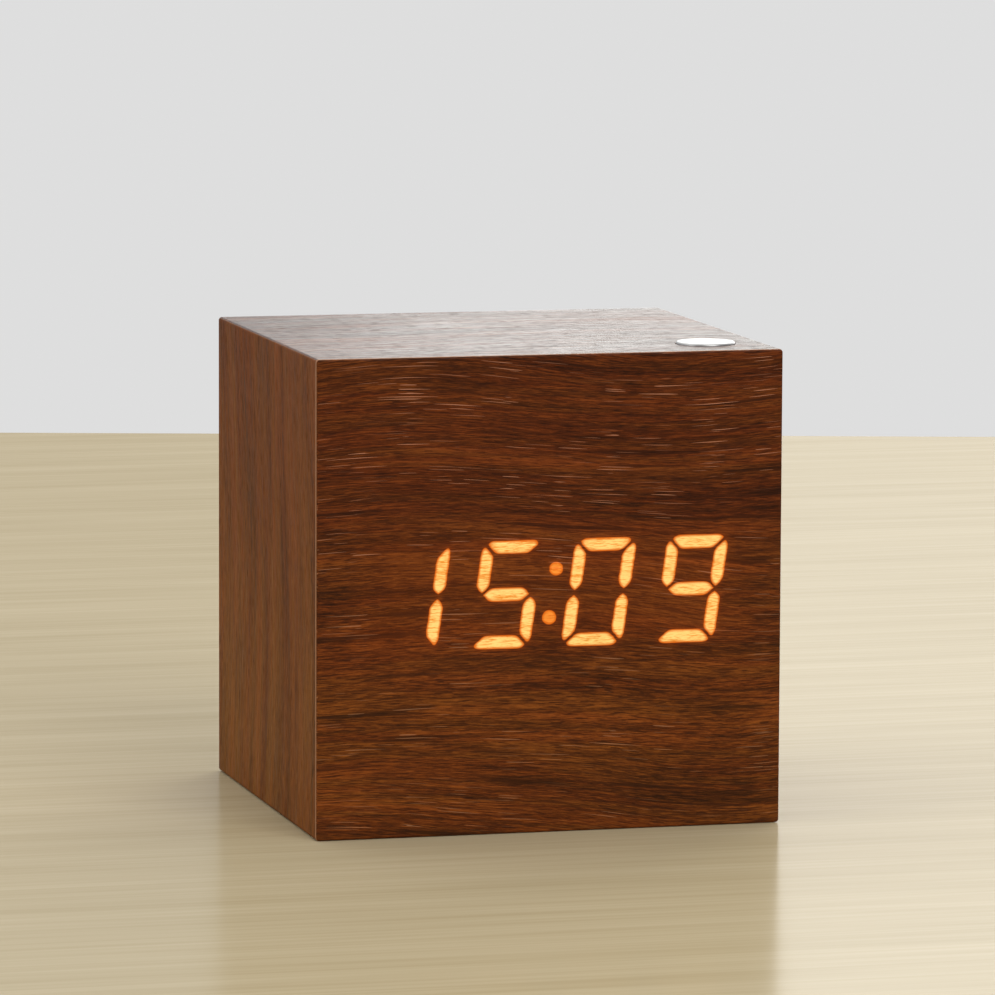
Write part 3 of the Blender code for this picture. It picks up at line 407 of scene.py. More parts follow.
def front_sheet_finish():
    """Walnut veneer with the lit time showing through it."""
    recipe = Recipe("front_walnut", gloss_level=0.1)
    _, y, z = recipe.split(recipe.place)
    # the painted pore glints grow denser towards the top
    more_glints_at_top = recipe.rise(z, 26, 52, 0.45, 1.15)
    colour, roughness, height, streaks = walnut(recipe, "X", "Z", 2.3, glint_area=more_glints_at_top)
    # painted shading: paler and yellower low down, darker and redder above
    colour = painted_shading_by_height(recipe, colour, FRONT_PAINTED_SHADING, 8, 50)
    in_depth = recipe.minus(y, FRONT / MM)
    # the veneer's cut edge and the back of its eased rim are painted pale: partly the raw edge, partly
    # a painted highlight
    colour = recipe.mix(recipe.rise(in_depth, 0.10, 0.24), colour, CUT_EDGE_AND_HIGHLIGHT)

    segment, dot, past_display = away_from_light(recipe)
    ragged = recipe.times(recipe.minus(streaks, 0.5), 0.30)
    segment = recipe.math("ADD", segment, ragged)
    dot = recipe.math("ADD", dot, ragged)
    threads = recipe.noise(recipe.place, (1.1, 0.1, 0.1), 2.0, 0.6, 51)
    shade = recipe.rise(recipe.weigh(threads, 0.65, streaks), 0.46, 0.62)
    core = recipe.mix(shade, SEGMENT_CORE, SEGMENT_GRAIN)
    light = recipe.mix(recipe.rise(segment, -0.40, -0.02, 1.0, 0.0), SEGMENT_RIM, core)
    dot_core = recipe.mix(shade, DOT_CORE, SEGMENT_RIM)
    dot_light = recipe.mix(recipe.rise(dot, -0.4, 0.0, 1.0, 0.0), SEGMENT_RIM, dot_core)
    wide = recipe.rise(past_display, -4.0, 5.0, 1.0, 0.0)
    glow = recipe.mix(wide, (0, 0, 0), WIDE_GLOW)
    nearest = recipe.math("MINIMUM", segment, dot)
    near = recipe.math("POWER", 2.718, recipe.times(nearest, -4.0), clamp=True)
    glow = recipe.mix(near, glow, NEAR_GLOW)
    glow = recipe.mix(recipe.rise(dot, -0.05, 0.04, 1.0, 0.0), glow, dot_light)
    glow = recipe.mix(recipe.rise(segment, -0.05, 0.04, 1.0, 0.0), glow, light)
    faces_front = recipe.rise(in_depth, 0.02, 0.06, 1.0, 0.0)
    recipe.shine(recipe.mix(faces_front, (0, 0, 0), glow))
    return recipe.finish(colour, roughness, height, 0.016 * MM)


# -------- other finishes
def toned(tint, share):
    return tuple(c * share for c in tint)


def fibreboard(name, tint=(0.20, 0.115, 0.055)):
    """Pressed wood fibre, as the boards show at a cut edge."""
    recipe = Recipe(name)
    coarse = recipe.noise(recipe.place, 0.9, 3.0, 0.6)
    fine = recipe.noise(recipe.place, 0.12, 2.0, 0.6, 4)
    mixed = recipe.weigh(coarse, 0.5, fine)
    colour = recipe.ramp(mixed, [(0.32, toned(tint, 0.55)), (0.5, tint), (0.68, toned(tint, 1.45))])
    roughness = recipe.times_plus(fine, 0.2, 0.68)
    return recipe.finish(colour, roughness, mixed, 0.05 * MM)


def moulded_plastic(name, tint, gloss=0.42, texture=0.10):
    """Moulded plastic with a fine spark-eroded texture and a little unevenness in its sheen."""
    recipe = Recipe(name)
    pits = recipe.noise(recipe.place, texture, 2.0, 0.6)
    cloud = recipe.noise(recipe.place, 5, 3.0, 0.55, 3)
    light = tuple(min(1.0, c * 1.3 + 0.004) for c in tint)
    stops = [(0.35, toned(tint, 0.75)), (0.65, light)]
    colour = recipe.ramp(recipe.weigh(pits, 0.35, cloud), stops)
    roughness = recipe.times_plus(cloud, 0.14, gloss)
    return recipe.finish(colour, roughness, pits, 0.012 * MM)


RECESS_PAINTED_SHADE = (0.05, 0.048, 0.045)


def plated_metal(name, tint, gloss, brushed_along="X", head_face=None):
    """Metal with a fine directional brushing and faint stains.

    Where the place of the screw heads' faces is given, painted shade darkens their recesses.
    """
    recipe = Recipe(name, metallic=1.0)
    size = tuple(6 if axis == brushed_along else 0.05 for axis in "XYZ")
    brushing = recipe.noise(recipe.place, size, 2.0, 0.6)
    stain = recipe.noise(recipe.place, 2.5, 3.0, 0.6, 7)
    colour = recipe.ramp(stain, [(0.35, toned(tint, 0.8)), (0.6, tint)])
    roughness = recipe.times_plus(brushing, 0.2, gloss - 0.1)
    if head_face is not None:
        # painted shade: darker with depth below the heads' faces
        sunk = recipe.minus(head_face / MM, recipe.split(recipe.place)[1])
        colour = recipe.mix(recipe.rise(sunk, 0.06, 0.45), colour, RECESS_PAINTED_SHADE)
    return recipe.finish(colour, roughness, brushing, 0.004 * MM)


def turned_aluminium(name, centre):
    """Satin aluminium with the fine rings that a lathe leaves round the button's centre."""
    recipe = Recipe(name, metallic=1.0)
    x, y, _ = recipe.split(recipe.place)
    u = recipe.minus(x, centre.x / MM)
    v = recipe.minus(y, centre.y / MM)
    radius = recipe.length(u, v)
    rings = recipe.noise(recipe.join(radius, 0.0, 0.0), (0.16, 1, 1), 3.0, 0.75)
    cloud = recipe.noise(recipe.place, 1.4, 2.0, 0.5, 5)
    tone = recipe.weigh(rings, 0.7, cloud)
    colour = recipe.ramp(tone, [(0.38, (0.43, 0.43, 0.44)), (0.62, (0.66, 0.66, 0.66))])
    roughness = recipe.times_plus(rings, 0.25, 0.28)
    return recipe.finish(colour, roughness, rings, 0.006 * MM)


def circuit_board(name):
    """Green solder mask over copper tracks."""
    recipe = Recipe(name)
    tracks = recipe.noise(recipe.place, (3.5, 3.5, 0.5), 0.0, 0.5)
    lines = recipe.math("PINGPONG", recipe.times(tracks, 14), 0.5)
    copper = recipe.rise(lines, 0.30, 0.36)
    weave = recipe.noise(recipe.place, 0.25, 1.0, 0.5, 2)
    mask = recipe.ramp(weave, [(0.3, (0.008, 0.075, 0.028)), (0.7, (0.016, 0.12, 0.045))])
    colour = recipe.mix(copper, mask, (0.035, 0.21, 0.075))
    roughness = recipe.times_plus(weave, 0.12, 0.24)
    return recipe.finish(colour, roughness, copper, 0.03 * MM)


def amber_resin(name):
    """Cloudy light-guide resin, lit from behind."""
    recipe = Recipe(name, 0.35)
    cloud = recipe.noise(recipe.place, 1.2, 3.0, 0.6)
    colour = recipe.ramp(cloud, [(0.3, (0.75, 0.30, 0.06)), (0.7, (0.95, 0.52, 0.16))])
    glow = recipe.ramp(cloud, [(0.3, (0.55, 0.14, 0.01)), (0.7, (0.9, 0.36, 0.07))])
    recipe.shine(glow)
    return recipe.finish(colour, None, cloud, 0.01 * MM)


def wire_cover(name, tint):
    """The scuffed soft plastic round a wire."""
    recipe = Recipe(name)
    scuffs = recipe.noise(recipe.place, 0.5, 3.0, 0.6)
    colour = recipe.ramp(scuffs, [(0.35, toned(tint, 0.7)), (0.6, tint)])
    roughness = recipe.times_plus(scuffs, 0.25, 0.32)
    return recipe.finish(colour, roughness, scuffs, 0.02 * MM)


# how far along from a cell's middle its sleeve's marks lie, in millimetres
CELL_RING = 7.2
CELL_BAND = 8.0
CELL_BARE = 21.6


def cell_sleeve(name, centre_x, side):
    """A battery cell's printed sleeve: a dark body with a coloured band towards its positive end."""
    recipe = Recipe(name)
    x, _, _ = recipe.split(recipe.place)
    along = recipe.times(recipe.minus(x, centre_x / MM), side)
    band = recipe.rise(along, CELL_BAND, CELL_BAND + 0.15)
    ring = recipe.rise(recipe.absolute(recipe.minus(along, CELL_RING)), 0.28, 0.36, 1, 0)
    fleck = recipe.noise(recipe.place, 0.3, 2.0, 0.5)
    body = recipe.ramp(fleck, [(0.3, (0.018, 0.024, 0.032)), (0.7, (0.030, 0.038, 0.050))])
    colour = recipe.mix(band, body, (0.50, 0.22, 0.035))
    colour = recipe.mix(ring, colour, (0.62, 0.62, 0.60))
    bare = recipe.rise(recipe.absolute(along), CELL_BARE, CELL_BARE + 0.08)
    colour = recipe.mix(bare, colour, (0.62, 0.61, 0.59))
    recipe.feed("Metallic", bare)
    roughness = recipe.times_plus(fleck, 0.1, 0.24)
    return recipe.finish(colour, roughness, fleck, 0.004 * MM)


# -------- making pieces
def as_piece(name, bm, *finishes):
    """Makes a named piece of a worked mesh."""
    mesh = bpy.data.meshes.new(name)
    bm.to_mesh(mesh)
    bm.free()
    piece = bpy.data.objects.new(name, mesh)
    bpy.context.scene.collection.objects.link(piece)
    for finish in finishes:
        mesh.materials.append(finish)
    return piece


def box_mesh(low, high, bm=None):
    """A box, put into the mesh that is given if there is one."""
    bm = bm or bmesh.new()
    size = Vector(high) - Vector(low)
    centre = (Vector(high) + Vector(low)) / 2
    bmesh.ops.create_cube(bm, size=1, matrix=Matrix.LocRotScale(centre, None, size))
    return bm


TURN = {  # turns a shape made along +Z
    "+Z": Euler((0, 0, 0)),
    "+Y": Euler((-math.pi / 2, 0, 0)),
    "+X": Euler((0, math.pi / 2, 0)),
    "-X": Euler((0, -math.pi / 2, 0)),
}


def turned_mesh(profile, centre, along, steps=64, bm=None):
    """A closed turned solid. The profile is (radius, height) from the top's centre to the bottom's."""
    bm = bm or bmesh.new()
    place = Matrix.LocRotScale(Vector(centre), TURN[along], None)
    rings = []
    for radius, height in profile:
        ring = []
        for i in range(steps if radius else 1):
            angle = 2 * math.pi * i / steps
            point = Vector((radius * math.cos(angle), radius * math.sin(angle), height))
            ring.append(bm.verts.new(place @ point))
        rings.append(ring)
    for upper, lower in zip(rings, rings[1:], strict=False):
        for i in range(steps):
            j = (i + 1) % steps
            corners = [upper[i % len(upper)], lower[i % len(lower)]]
            if len(lower) > 1:
                corners.append(lower[j])
            if len(upper) > 1:
                corners.append(upper[j])
            bm.faces.new(corners)
    return bm


def outline_mesh(outline, axis, low, high, bm=None):
    """A closed outline given a thickness along an axis. Y takes (x, z) points, Z takes (x, y)."""
    bm = bm or bmesh.new()

    def at(point, level):
        u, v = point
        return (u, level, v) if axis == "Y" else (u, v, level)

    lower = [bm.verts.new(at(p, low)) for p in outline]
    upper = [bm.verts.new(at(p, high)) for p in outline]
    faces = [bm.faces.new(lower), bm.faces.new(upper)]
    count = len(outline)
    for i in range(count):
        j = (i + 1) % count
        faces.append(bm.faces.new((lower[i], lower[j], upper[j], upper[i])))
    bmesh.ops.recalc_face_normals(bm, faces=faces)
    return bm


def arc(centre, radius, start, end, steps):
    """Points on an arc, with its angles in degrees."""
    points = []
    for i in range(steps + 1):
        angle = math.radians(start + (end - start) * i / steps)
        points.append((centre[0] + radius * math.cos(angle), centre[1] + radius * math.sin(angle)))
    return points


def rounded_rectangle(low, high, radius, steps=8):
    """A rectangle's outline with its corners rounded."""
    left, bottom = (c + radius for c in low)
    right, top = (c - radius for c in high)
    points = []
    for number, centre in enumerate(((right, top), (left, top), (left, bottom), (right, bottom))):
        points += arc(centre, radius, 90 * number, 90 * (number + 1), steps)
    return points


def slab(low, high, radius, bottom, top, spread=0.0, steps=8):
    """A slab along Y with rounded corners, wider than the box by the spread on every side."""
    corners = (low.x - spread, low.z - spread), (high.x + spread, high.z + spread)
    return outline_mesh(rounded_rectangle(*corners, radius, steps), "Y", bottom, top)


def bevel(piece, width):
    """Eases every sharp edge of a piece."""
    step = piece.modifiers.new("eased", "BEVEL")
    step.width = width
    step.segments = 2
    step.limit_method = "ANGLE"
    step.angle_limit = math.radians(30)
    step.use_clamp_overlap = True
    return settle(piece)


def ease_rim(bm, level, width, segments=3):
    """Rounds the edges round the face at this level along Y."""
    rim = [e for e in bm.edges if all(abs(v.co.y - level) < 0.01 * MM for v in e.verts)]
    bmesh.ops.bevel(bm, geom=rim, offset=width, segments=segments, profile=0.5, affect="EDGES")


def boolean(piece, operation, finish, shapes):
    """Cuts the shapes from the piece, or joins them to it. The new faces have the shapes' finish."""
    helpers = []
    for name, bm in shapes.items():
        bmesh.ops.recalc_face_normals(bm, faces=bm.faces)
        helpers.append(as_piece(name, bm, finish))
    for helper in helpers:
        step = piece.modifiers.new("cut", "BOOLEAN")
        step.operation = operation
        step.solver = "EXACT"
        step.material_mode = "TRANSFER"
        step.object = helper
    settle(piece)
    for helper in helpers:
        bpy.data.objects.remove(helper)
    return piece


def cut(piece, finish, **shapes):
    return boolean(piece, "DIFFERENCE", finish, shapes)


def fuse(piece, finish, **shapes):
    return boolean(piece, "UNION", finish, shapes)


def settle(piece):
    """Applies the piece's modifiers, which leaves a plain mesh."""
    graph = bpy.context.evaluated_depsgraph_get()
    mesh = bpy.data.meshes.new_from_object(piece.evaluated_get(graph))
    piece.modifiers.clear()
    piece.data = mesh
    return piece


def shade(piece, angle=30):
    """Smooth shading that keeps flat faces flat beside their rounded edges."""
    piece.data.shade_smooth()
    piece.data.set_sharp_from_angle(angle=math.radians(angle))
    even = piece.modifiers.new("even_shading", "WEIGHTED_NORMAL")
    even.keep_sharp = True
    return settle(piece)


def fit(piece, body, slot, *nodes):
    """Hangs a finished piece on its body and hides the solids that it replaces."""
    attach(piece, body)
    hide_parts(*nodes)
    return piece


# -------- the case
def make_front_sheet():
    """The thin veneer over the whole front, with its rim eased."""
    outline = rounded_rectangle((LEFT, 0), (RIGHT, HEIGHT), ARRIS)
    bm = outline_mesh(outline, "Y", FRONT, SHEET_BACK)
    ease_rim(bm, FRONT, 0.32 * MM, 4)
    piece = as_piece("front_sheet", bm, front_sheet_finish())
    fit(shade(piece), "case", "front_veneer", "front_veneer")


def board_outline():
    """The top board's section from the front, with its foil rounding the eased edges to the mitres."""
    start = (RIGHT - ARRIS, RIGHT - ARRIS)
    right = [(RIGHT - BOARD, RIGHT - BOARD), *arc(start, ARRIS, 45, 90, 6)]
    return right + [(-u, v) for u, v in reversed(right)]


def make_board(number, name, finish, edge):
    """One of the four boards: the top board's section turned by quarter turns round the middle."""
    turn = Matrix.Rotation(math.pi / 2 * number, 2)
    turned = [turn @ Vector(point) for point in board_outline()]
    bm = outline_mesh([(u, v + MIDDLE_Z) for u, v in turned], "Y", SHEET_BACK, BACK)
    for face in bm.faces:
        outward = Vector((face.calc_center_median().x, 0, face.calc_center_median().z - MIDDLE_Z))
        if abs(face.normal.y) > 0.9 or face.normal.dot(outward) < 0:
            face.material_index = 1  # the board itself, which shows at the back
    return as_piece(name, bm, finish, edge)


def make_case(edge):
    top = {"lift": -0.05, "pale": 0.6, "gloss": 0.25}
    calm = {"upright": True, "lift": 0.055, "dark": 0.35, "pale": 0.25, "gloss": 0.44}
    foils = (
        ("top_board_foil", case_foil("top_foil", "X", "Y", 11.0, 0.2, **top)),
        ("left_board_foil", case_foil("left_foil", "Z", "Y", 27.0, 0.04, **calm)),
        ("bottom_board_foil", case_foil("bottom_foil", "X", "Y", 41.0, pale=0.5)),
        ("right_board_foil", case_foil("right_foil", "Z", "Y", 53.0, 0.04, **calm)),
    )
    boards = [make_board(i, name, finish, edge) for i, (name, finish) in enumerate(foils)]
    low, high, centre = measured("top_button")
    wide = (high.x - low.x) / 2 + 0.1 * MM
    narrow = 2 * MM
    ledge = HEIGHT - 2 * MM
    inside = HEIGHT - BOARD - PAST
    profile = [(0, HEIGHT + PAST), (wide, HEIGHT + PAST), (wide, ledge)]
    profile += [(narrow, ledge), (narrow, inside), (0, inside)]
    hole = turned_mesh(profile, (centre.x, centre.y, 0), "+Z")
    cut(boards[0], edge, button_hole=hole)
    low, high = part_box("battery_tray")
    corners = (low.x - HAIRLINE, low.y - HAIRLINE), (high.x + HAIRLINE, high.y + HAIRLINE)
    bay = outline_mesh(rounded_rectangle(*corners, 0.6 * MM, 4), "Z", -PAST, BOARD + PAST)
    cut(boards[2], edge, bay_opening=bay)
    nodes = ("top_board", "left_board", "bottom_board", "right_board")
    for piece, node in zip(boards, nodes, strict=True):
        fit(shade(piece), "case", "case_walnut", node)


def make_back_sheet(edge):
    """The walnut back, with a rebate for the control plate and sunk holes for the screws."""
    low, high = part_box("back_panel")
    gap = 0.1 * MM
    reach = RIGHT - BOARD - gap
    corners = (-reach, BOARD + gap), (reach, HEIGHT - BOARD - gap)
    bm = outline_mesh(rounded_rectangle(*corners, 0.5 * MM, 4), "Y", low.y, high.y)
    ease_rim(bm, high.y, 0.3 * MM)
    recipe = Recipe("back_walnut", gloss_level=0.2)
    colour, roughness, height, _ = walnut(recipe, "X", "Z", 67.0, pale=0.6)
    from_back = recipe.minus(high.y / MM, recipe.split(recipe.place)[1])
    colour = recipe.mix(recipe.rise(from_back, 0.12, 0.3), colour, CUT_EDGE_AND_HIGHLIGHT)
    piece = as_piece("back_sheet", bm, recipe.finish(colour, roughness, height, 0.014 * MM), edge)
    rebate = slab(
        PLATE_LOW, PLATE_HIGH, 2.1 * MM, PLATE_HIGH.y - 1.7 * MM, high.y + PAST, HAIRLINE
    )
    corners = (
        (PLATE_LOW.x + 2.6 * MM, PLATE_LOW.z + 2.8 * MM),
        (PLATE_HIGH.x - 2.6 * MM, PLATE_HIGH.z - 2.8 * MM),
    )
    opening = outline_mesh(rounded_rectangle(*corners, 1.5 * MM), "Y", low.y - PAST, high.y + PAST)
    holes = bmesh.new()
    shank = 1.4 * MM
    seat = -0.4 * MM
    bottom = -6 * MM
    for name in BACK_SCREWS:
        screw_low, screw_high, centre = measured(name)
        head = (screw_high.x - screw_low.x) / 2 + HAIRLINE
        mouth = head + 0.2 * MM
        profile = [(0, PAST), (mouth, PAST), (mouth, 0.15 * MM), (head, -0.05 * MM), (head, seat)]
        profile += [(shank, seat - (head - shank)), (shank, bottom), (0, bottom)]
        turned_mesh(profile, (centre.x, high.y, centre.z), "+Y", 40, holes)
    cut(piece, edge, plate_rebate=rebate, plate_opening=opening, screw_holes=holes)
    fit(shade(piece), "case", "back_walnut", "back_panel")


# -------- the button on the top
def make_top_disc():
    """The turned button: a flat disc with a soft rim, on a stem."""
    low, high, centre = measured("top_button")
    radius = (high.x - low.x) / 2
    stem = 1.5 * MM
    rim = 0.26 * MM
    under = high.z - 1.4 * MM
    profile = [(0, high.z), (radius - 0.9 * MM, high.z)]
    profile += arc((radius - rim, high.z - rim), rim, 90, 0, 6)
    profile += [(radius, high.z - 1.3 * MM), (radius - 0.1 * MM, under), (stem, under)]
    profile += [(stem, low.z + 0.2 * MM), (stem - 0.2 * MM, low.z), (0, low.z)]
    bm = turned_mesh(profile, (centre.x, centre.y, 0), "+Z", 96)
    piece = as_piece("top_disc", bm, turned_aluminium("satin_aluminium", centre))
    fit(shade(piece, 40), "top_button", "button_aluminium", "top_button")


# -------- the controls on the back
def make_control_plate(plastic):
    """The black plate: a raised rim round a shallow field, and a dished ring round each button."""
    face = PLATE_HIGH.y
    under = face - 1.4 * MM
    sunk = face - 0.15 * MM
    bm = slab(PLATE_LOW, PLATE_HIGH, 2 * MM, under, face)
    ease_rim(bm, face, 0.25 * MM)
    piece = as_piece("control_plate_moulding", bm, plastic)
    field = slab(PLATE_LOW, PLATE_HIGH, 1.3 * MM, sunk, face + PAST, -1.2 * MM)
    posts = bmesh.new()
    post = 1.9 * MM
    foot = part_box("control_board")[1].y + 0.3 * MM
    profile = [(0, face - 1 * MM), (post, face - 1 * MM), (post, foot), (0, foot)]
    for number in (1, 2):
        _, _, centre = measured(f"board_screw_{number}")
        turned_mesh(profile, (centre.x, 0, centre.z), "+Y", 32, posts)
    fuse(piece, plastic, plate_posts=posts)
    mouths = bmesh.new()
    collar = KEY_RADIUS + 0.7 * MM
    throat = KEY_RADIUS + 0.12 * MM
    profile = [(0, face + PAST), (collar, face + PAST), (collar, sunk), (throat, face - 0.5 * MM)]
    profile += [(throat, under - PAST), (0, under - PAST)]
    for name in KEYS:
        _, _, centre = measured(f"{name}_button")
        turned_mesh(profile, (centre.x, 0, centre.z), "+Y", 64, mouths)
    low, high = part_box("power_socket_shell")
    socket = slab(low, high, 0.6 * MM, face - 3 * MM, face + PAST, 0.35 * MM, 5)
    cut(piece, plastic, plate_field=field, button_mouths=mouths, socket_mouth=socket)
    fit(shade(piece), "case", "black_plastic", "control_plate")


def key_mark(name, centre, face):
    """The raised mark on a button's face: a ring to set, and arrowheads for up and down."""
    foot = face - 0.3 * MM
    if name == "set":
        inner = 0.62 * MM
        outer = 0.95 * MM
        section = [(inner, face), (outer, face), (outer, foot), (inner, foot), (inner, face)]
        raised = turned_mesh(section, (centre.x, 0, centre.z), "+Y", 48)
        bmesh.ops.remove_doubles(raised, verts=raised.verts, dist=0.0001 * MM)
    else:
        size = 1.0 * MM
        tip = size if name == "up" else -size
        corners = ((-size * 0.95, -tip * 0.6), (size * 0.95, -tip * 0.6), (0, tip))
        raised = outline_mesh([(centre.x + u, centre.z + v) for u, v in corners], "Y", foot, face)
    return raised


def make_keys(plastic, mark_finish):
    """The three buttons: a dished face, a flange that holds each one in, and a stem."""
    shoulder = PLATE_HIGH.y - 1.7 * MM
    stem = 1.5 * MM
    dish = 0.12 * MM
    rim = 0.35 * MM
    for name in KEYS:
        low, high, centre = measured(f"{name}_button")
        flange = (high.x - low.x) / 2
        profile = [(0, high.y - dish), (1.55 * MM, high.y - dish), (1.9 * MM, high.y - 0.02 * MM)]
        profile += arc((KEY_RADIUS - rim, high.y - rim), rim, 90, 0, 6)
        profile += [(KEY_RADIUS, shoulder), (flange, shoulder), (flange, shoulder - 1 * MM)]
        profile += [(stem, shoulder - 1 * MM), (stem, low.y), (0, low.y)]
        bm = turned_mesh(profile, (centre.x, 0, centre.z), "+Y", 72)
        piece = as_piece(f"{name}_key", bm, plastic)
        fuse(piece, mark_finish, raised_mark=key_mark(name, centre, high.y))
        fit(shade(piece), f"{name}_button", "black_plastic", f"{name}_button")


def make_socket(steel, tongue_plastic, gold):
    """The power socket: a thin steel shell and a tongue with five contact strips."""
    low, high, centre = measured("power_socket_shell")

    def mouth(slack, cut_off, back, front):
        """The socket's section: two rounded corners above and two cut ones below."""
        w = (high.x - low.x) / 2 + slack
        h = (high.z - low.z) / 2 + slack
        r = 0.3 * MM
        points = arc((w - r, h - r), r, 0, 90, 4) + arc((r - w, h - r), r, 90, 180, 4)
        points += [(-w, cut_off - h), (cut_off - w, -h), (w - cut_off, -h), (w, cut_off - h)]
        return outline_mesh([(centre.x + u, centre.z + v) for u, v in points], "Y", back, front)

    shell = as_piece("power_socket_sheet", mouth(0, 0.9 * MM, low.y, high.y), steel)
    hollow = mouth(-0.3 * MM, 0.75 * MM, low.y + 4 * MM, high.y + PAST)
    cut(shell, steel, socket_hollow=hollow)
    bevel(shell, 0.06 * MM)
    fit(shade(shell), "case", "socket_steel", "power_socket_shell")

    low, high, centre = measured("power_socket_tongue")
    tongue = as_piece("power_socket_tongue_moulding", box_mesh(low, high), tongue_plastic)
    bevel(tongue, 0.12 * MM)
    strips = bmesh.new()
    pitch = 0.65 * MM
    half = 0.18 * MM
    for i in range(5):
        x = centre.x + (i - 2) * pitch
        strip_low = (x - half, low.y + 0.5 * MM, low.z - 0.06 * MM)
        box_mesh(strip_low, (x + half, high.y - 0.3 * MM, low.z + 0.1 * MM), strips)
    fuse(tongue, gold, tongue_strips=strips)
    fit(shade(tongue), "case", "white_plastic", "power_socket_tongue")


def socket_id(tree, name):
    """The identifier of a named input of a geometry tree."""
    return next(item.identifier for item in tree.interface.items_tree if item.name == name)


def screw_tree(steel):
    """Geometry nodes for a grid of countersunk screws with cross recesses."""
    tree = bpy.data.node_groups.new("countersunk_screws", "GeometryNodeTree")
    sizes = {
        "Across": 50 * MM,
        "Up": 45 * MM,
        "Head Radius": 2.4 * MM,
        "Shank Radius": 1.15 * MM,
        "Length": 9.5 * MM,
        "Recess": 0.75 * MM,
    }
    add = tree.interface.new_socket
    add(name="Geometry", in_out="INPUT", socket_type="NodeSocketGeometry")
    for name, value in sizes.items():
        add(name=name, in_out="INPUT", socket_type="NodeSocketFloat").default_value = value
    add(name="Geometry", in_out="OUTPUT", socket_type="NodeSocketGeometry")
    given = tree.nodes.new("NodeGroupInput").outputs
    result = tree.nodes.new("NodeGroupOutput")
    head, shank, length = (given[name] for name in ("Head Radius", "Shank Radius", "Length"))
    recess = given["Recess"]
    upside_down = (math.pi, 0, 0)

    def node(kind, inputs, **settings):
        return add_node(tree, "GeometryNode" + kind, inputs, **settings)

    def calculate(operation, a, b):
        return add_node(tree, "ShaderNodeMath", {0: a, 1: b}, operation=operation).outputs[0]

    def moved(shape, height, turn=(0, 0, 0)):
        rise = add_node(tree, "ShaderNodeCombineXYZ", {2: height}).outputs[0]
        inputs = {"Geometry": shape.outputs["Mesh"], "Translation": rise, "Rotation": turn}
        return node("Transform", inputs).outputs[0]

    def joined(operation, shapes):
        made = node("MeshBoolean", (), operation=operation, solver="EXACT")
        for shape in shapes:
            tree.links.new(shape, made.inputs["Mesh 2"])
        return made

    rim = node("MeshCylinder", {"Vertices": 40, "Depth": 0.3 * MM, "Radius": head})
    cone = node(
        "MeshCone",
        {
            "Vertices": 40,
            "Radius Bottom": head,
            "Radius Top": shank,
            "Depth": calculate("SUBTRACT", head, shank),
        },
    )
    rod = node("MeshCylinder", {"Vertices": 24, "Radius": shank, "Depth": length})
    solids = [
        moved(rim, -0.15 * MM),
        moved(cone, -0.28 * MM, upside_down),
        moved(rod, calculate("MULTIPLY", length, -0.5)),
    ]
    arm_size = {
        0: calculate("MULTIPLY", head, 1.3),
        1: calculate("MULTIPLY", recess, 0.85),
        2: calculate("MULTIPLY", recess, 2.0),
    }
    arm_size = add_node(tree, "ShaderNodeCombineXYZ", arm_size).outputs[0]
    arm = node("MeshCube", {"Size": arm_size})
    hollow = node(
        "MeshCone",
        {
            "Vertices": 24,
            "Radius Bottom": recess,
            "Radius Top": 0.15 * MM,
            "Depth": calculate("MULTIPLY", recess, 2.0),
        },
    )
    recesses = [
        moved(arm, 0.0),
        moved(arm, 0.0, (0, 0, math.pi / 2)),
        moved(hollow, 0.1 * MM, upside_down),
    ]
    carved = joined("DIFFERENCE", recesses)
    tree.links.new(joined("UNION", solids).outputs["Mesh"], carved.inputs["Mesh 1"])

    grid = {"Vertices X": 2, "Vertices Y": 2, "Size X": given["Across"], "Size Y": given["Up"]}
    limits = {0: (0, 0, 0), 1: (0, 0, 1.5), "Seed": 4}
    turns = add_node(tree, "FunctionNodeRandomValue", limits, data_type="FLOAT_VECTOR")
    spread = node(
        "InstanceOnPoints",
        {
            "Points": node("MeshGrid", grid).outputs["Mesh"],
            "Instance": carved.outputs["Mesh"],
            "Rotation": turns.outputs[0],
        },
    )
    whole = node("RealizeInstances", {0: spread.outputs[0]})
    coloured = node("SetMaterial", {"Geometry": whole.outputs[0], "Material": steel})
    tree.links.new(coloured.outputs[0], result.inputs["Geometry"])
    return tree


def make_back_screws(steel):
    """The four screws at the back's corners, as one set."""
    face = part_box(BACK_SCREWS[0])[1].y
    centres = [measured(name)[2] for name in BACK_SCREWS]
    across = max(c.x for c in centres) - min(c.x for c in centres)
    up = max(c.z for c in centres) - min(c.z for c in centres)
    middle = sum(centres, Vector()) / 4
    tree = screw_tree(steel)
    piece = as_piece("back_screw_set", bmesh.new())
    grid = piece.modifiers.new("screws", "NODES")
    grid.node_group = tree
    grid[socket_id(tree, "Across")] = across
    grid[socket_id(tree, "Up")] = up
    settle(piece)
    stand = Matrix.LocRotScale(Vector((middle.x, face, middle.z)), TURN["+Y"], None)
    piece.data.transform(stand)
    fit(shade(piece), "case", "screw_steel", *BACK_SCREWS)


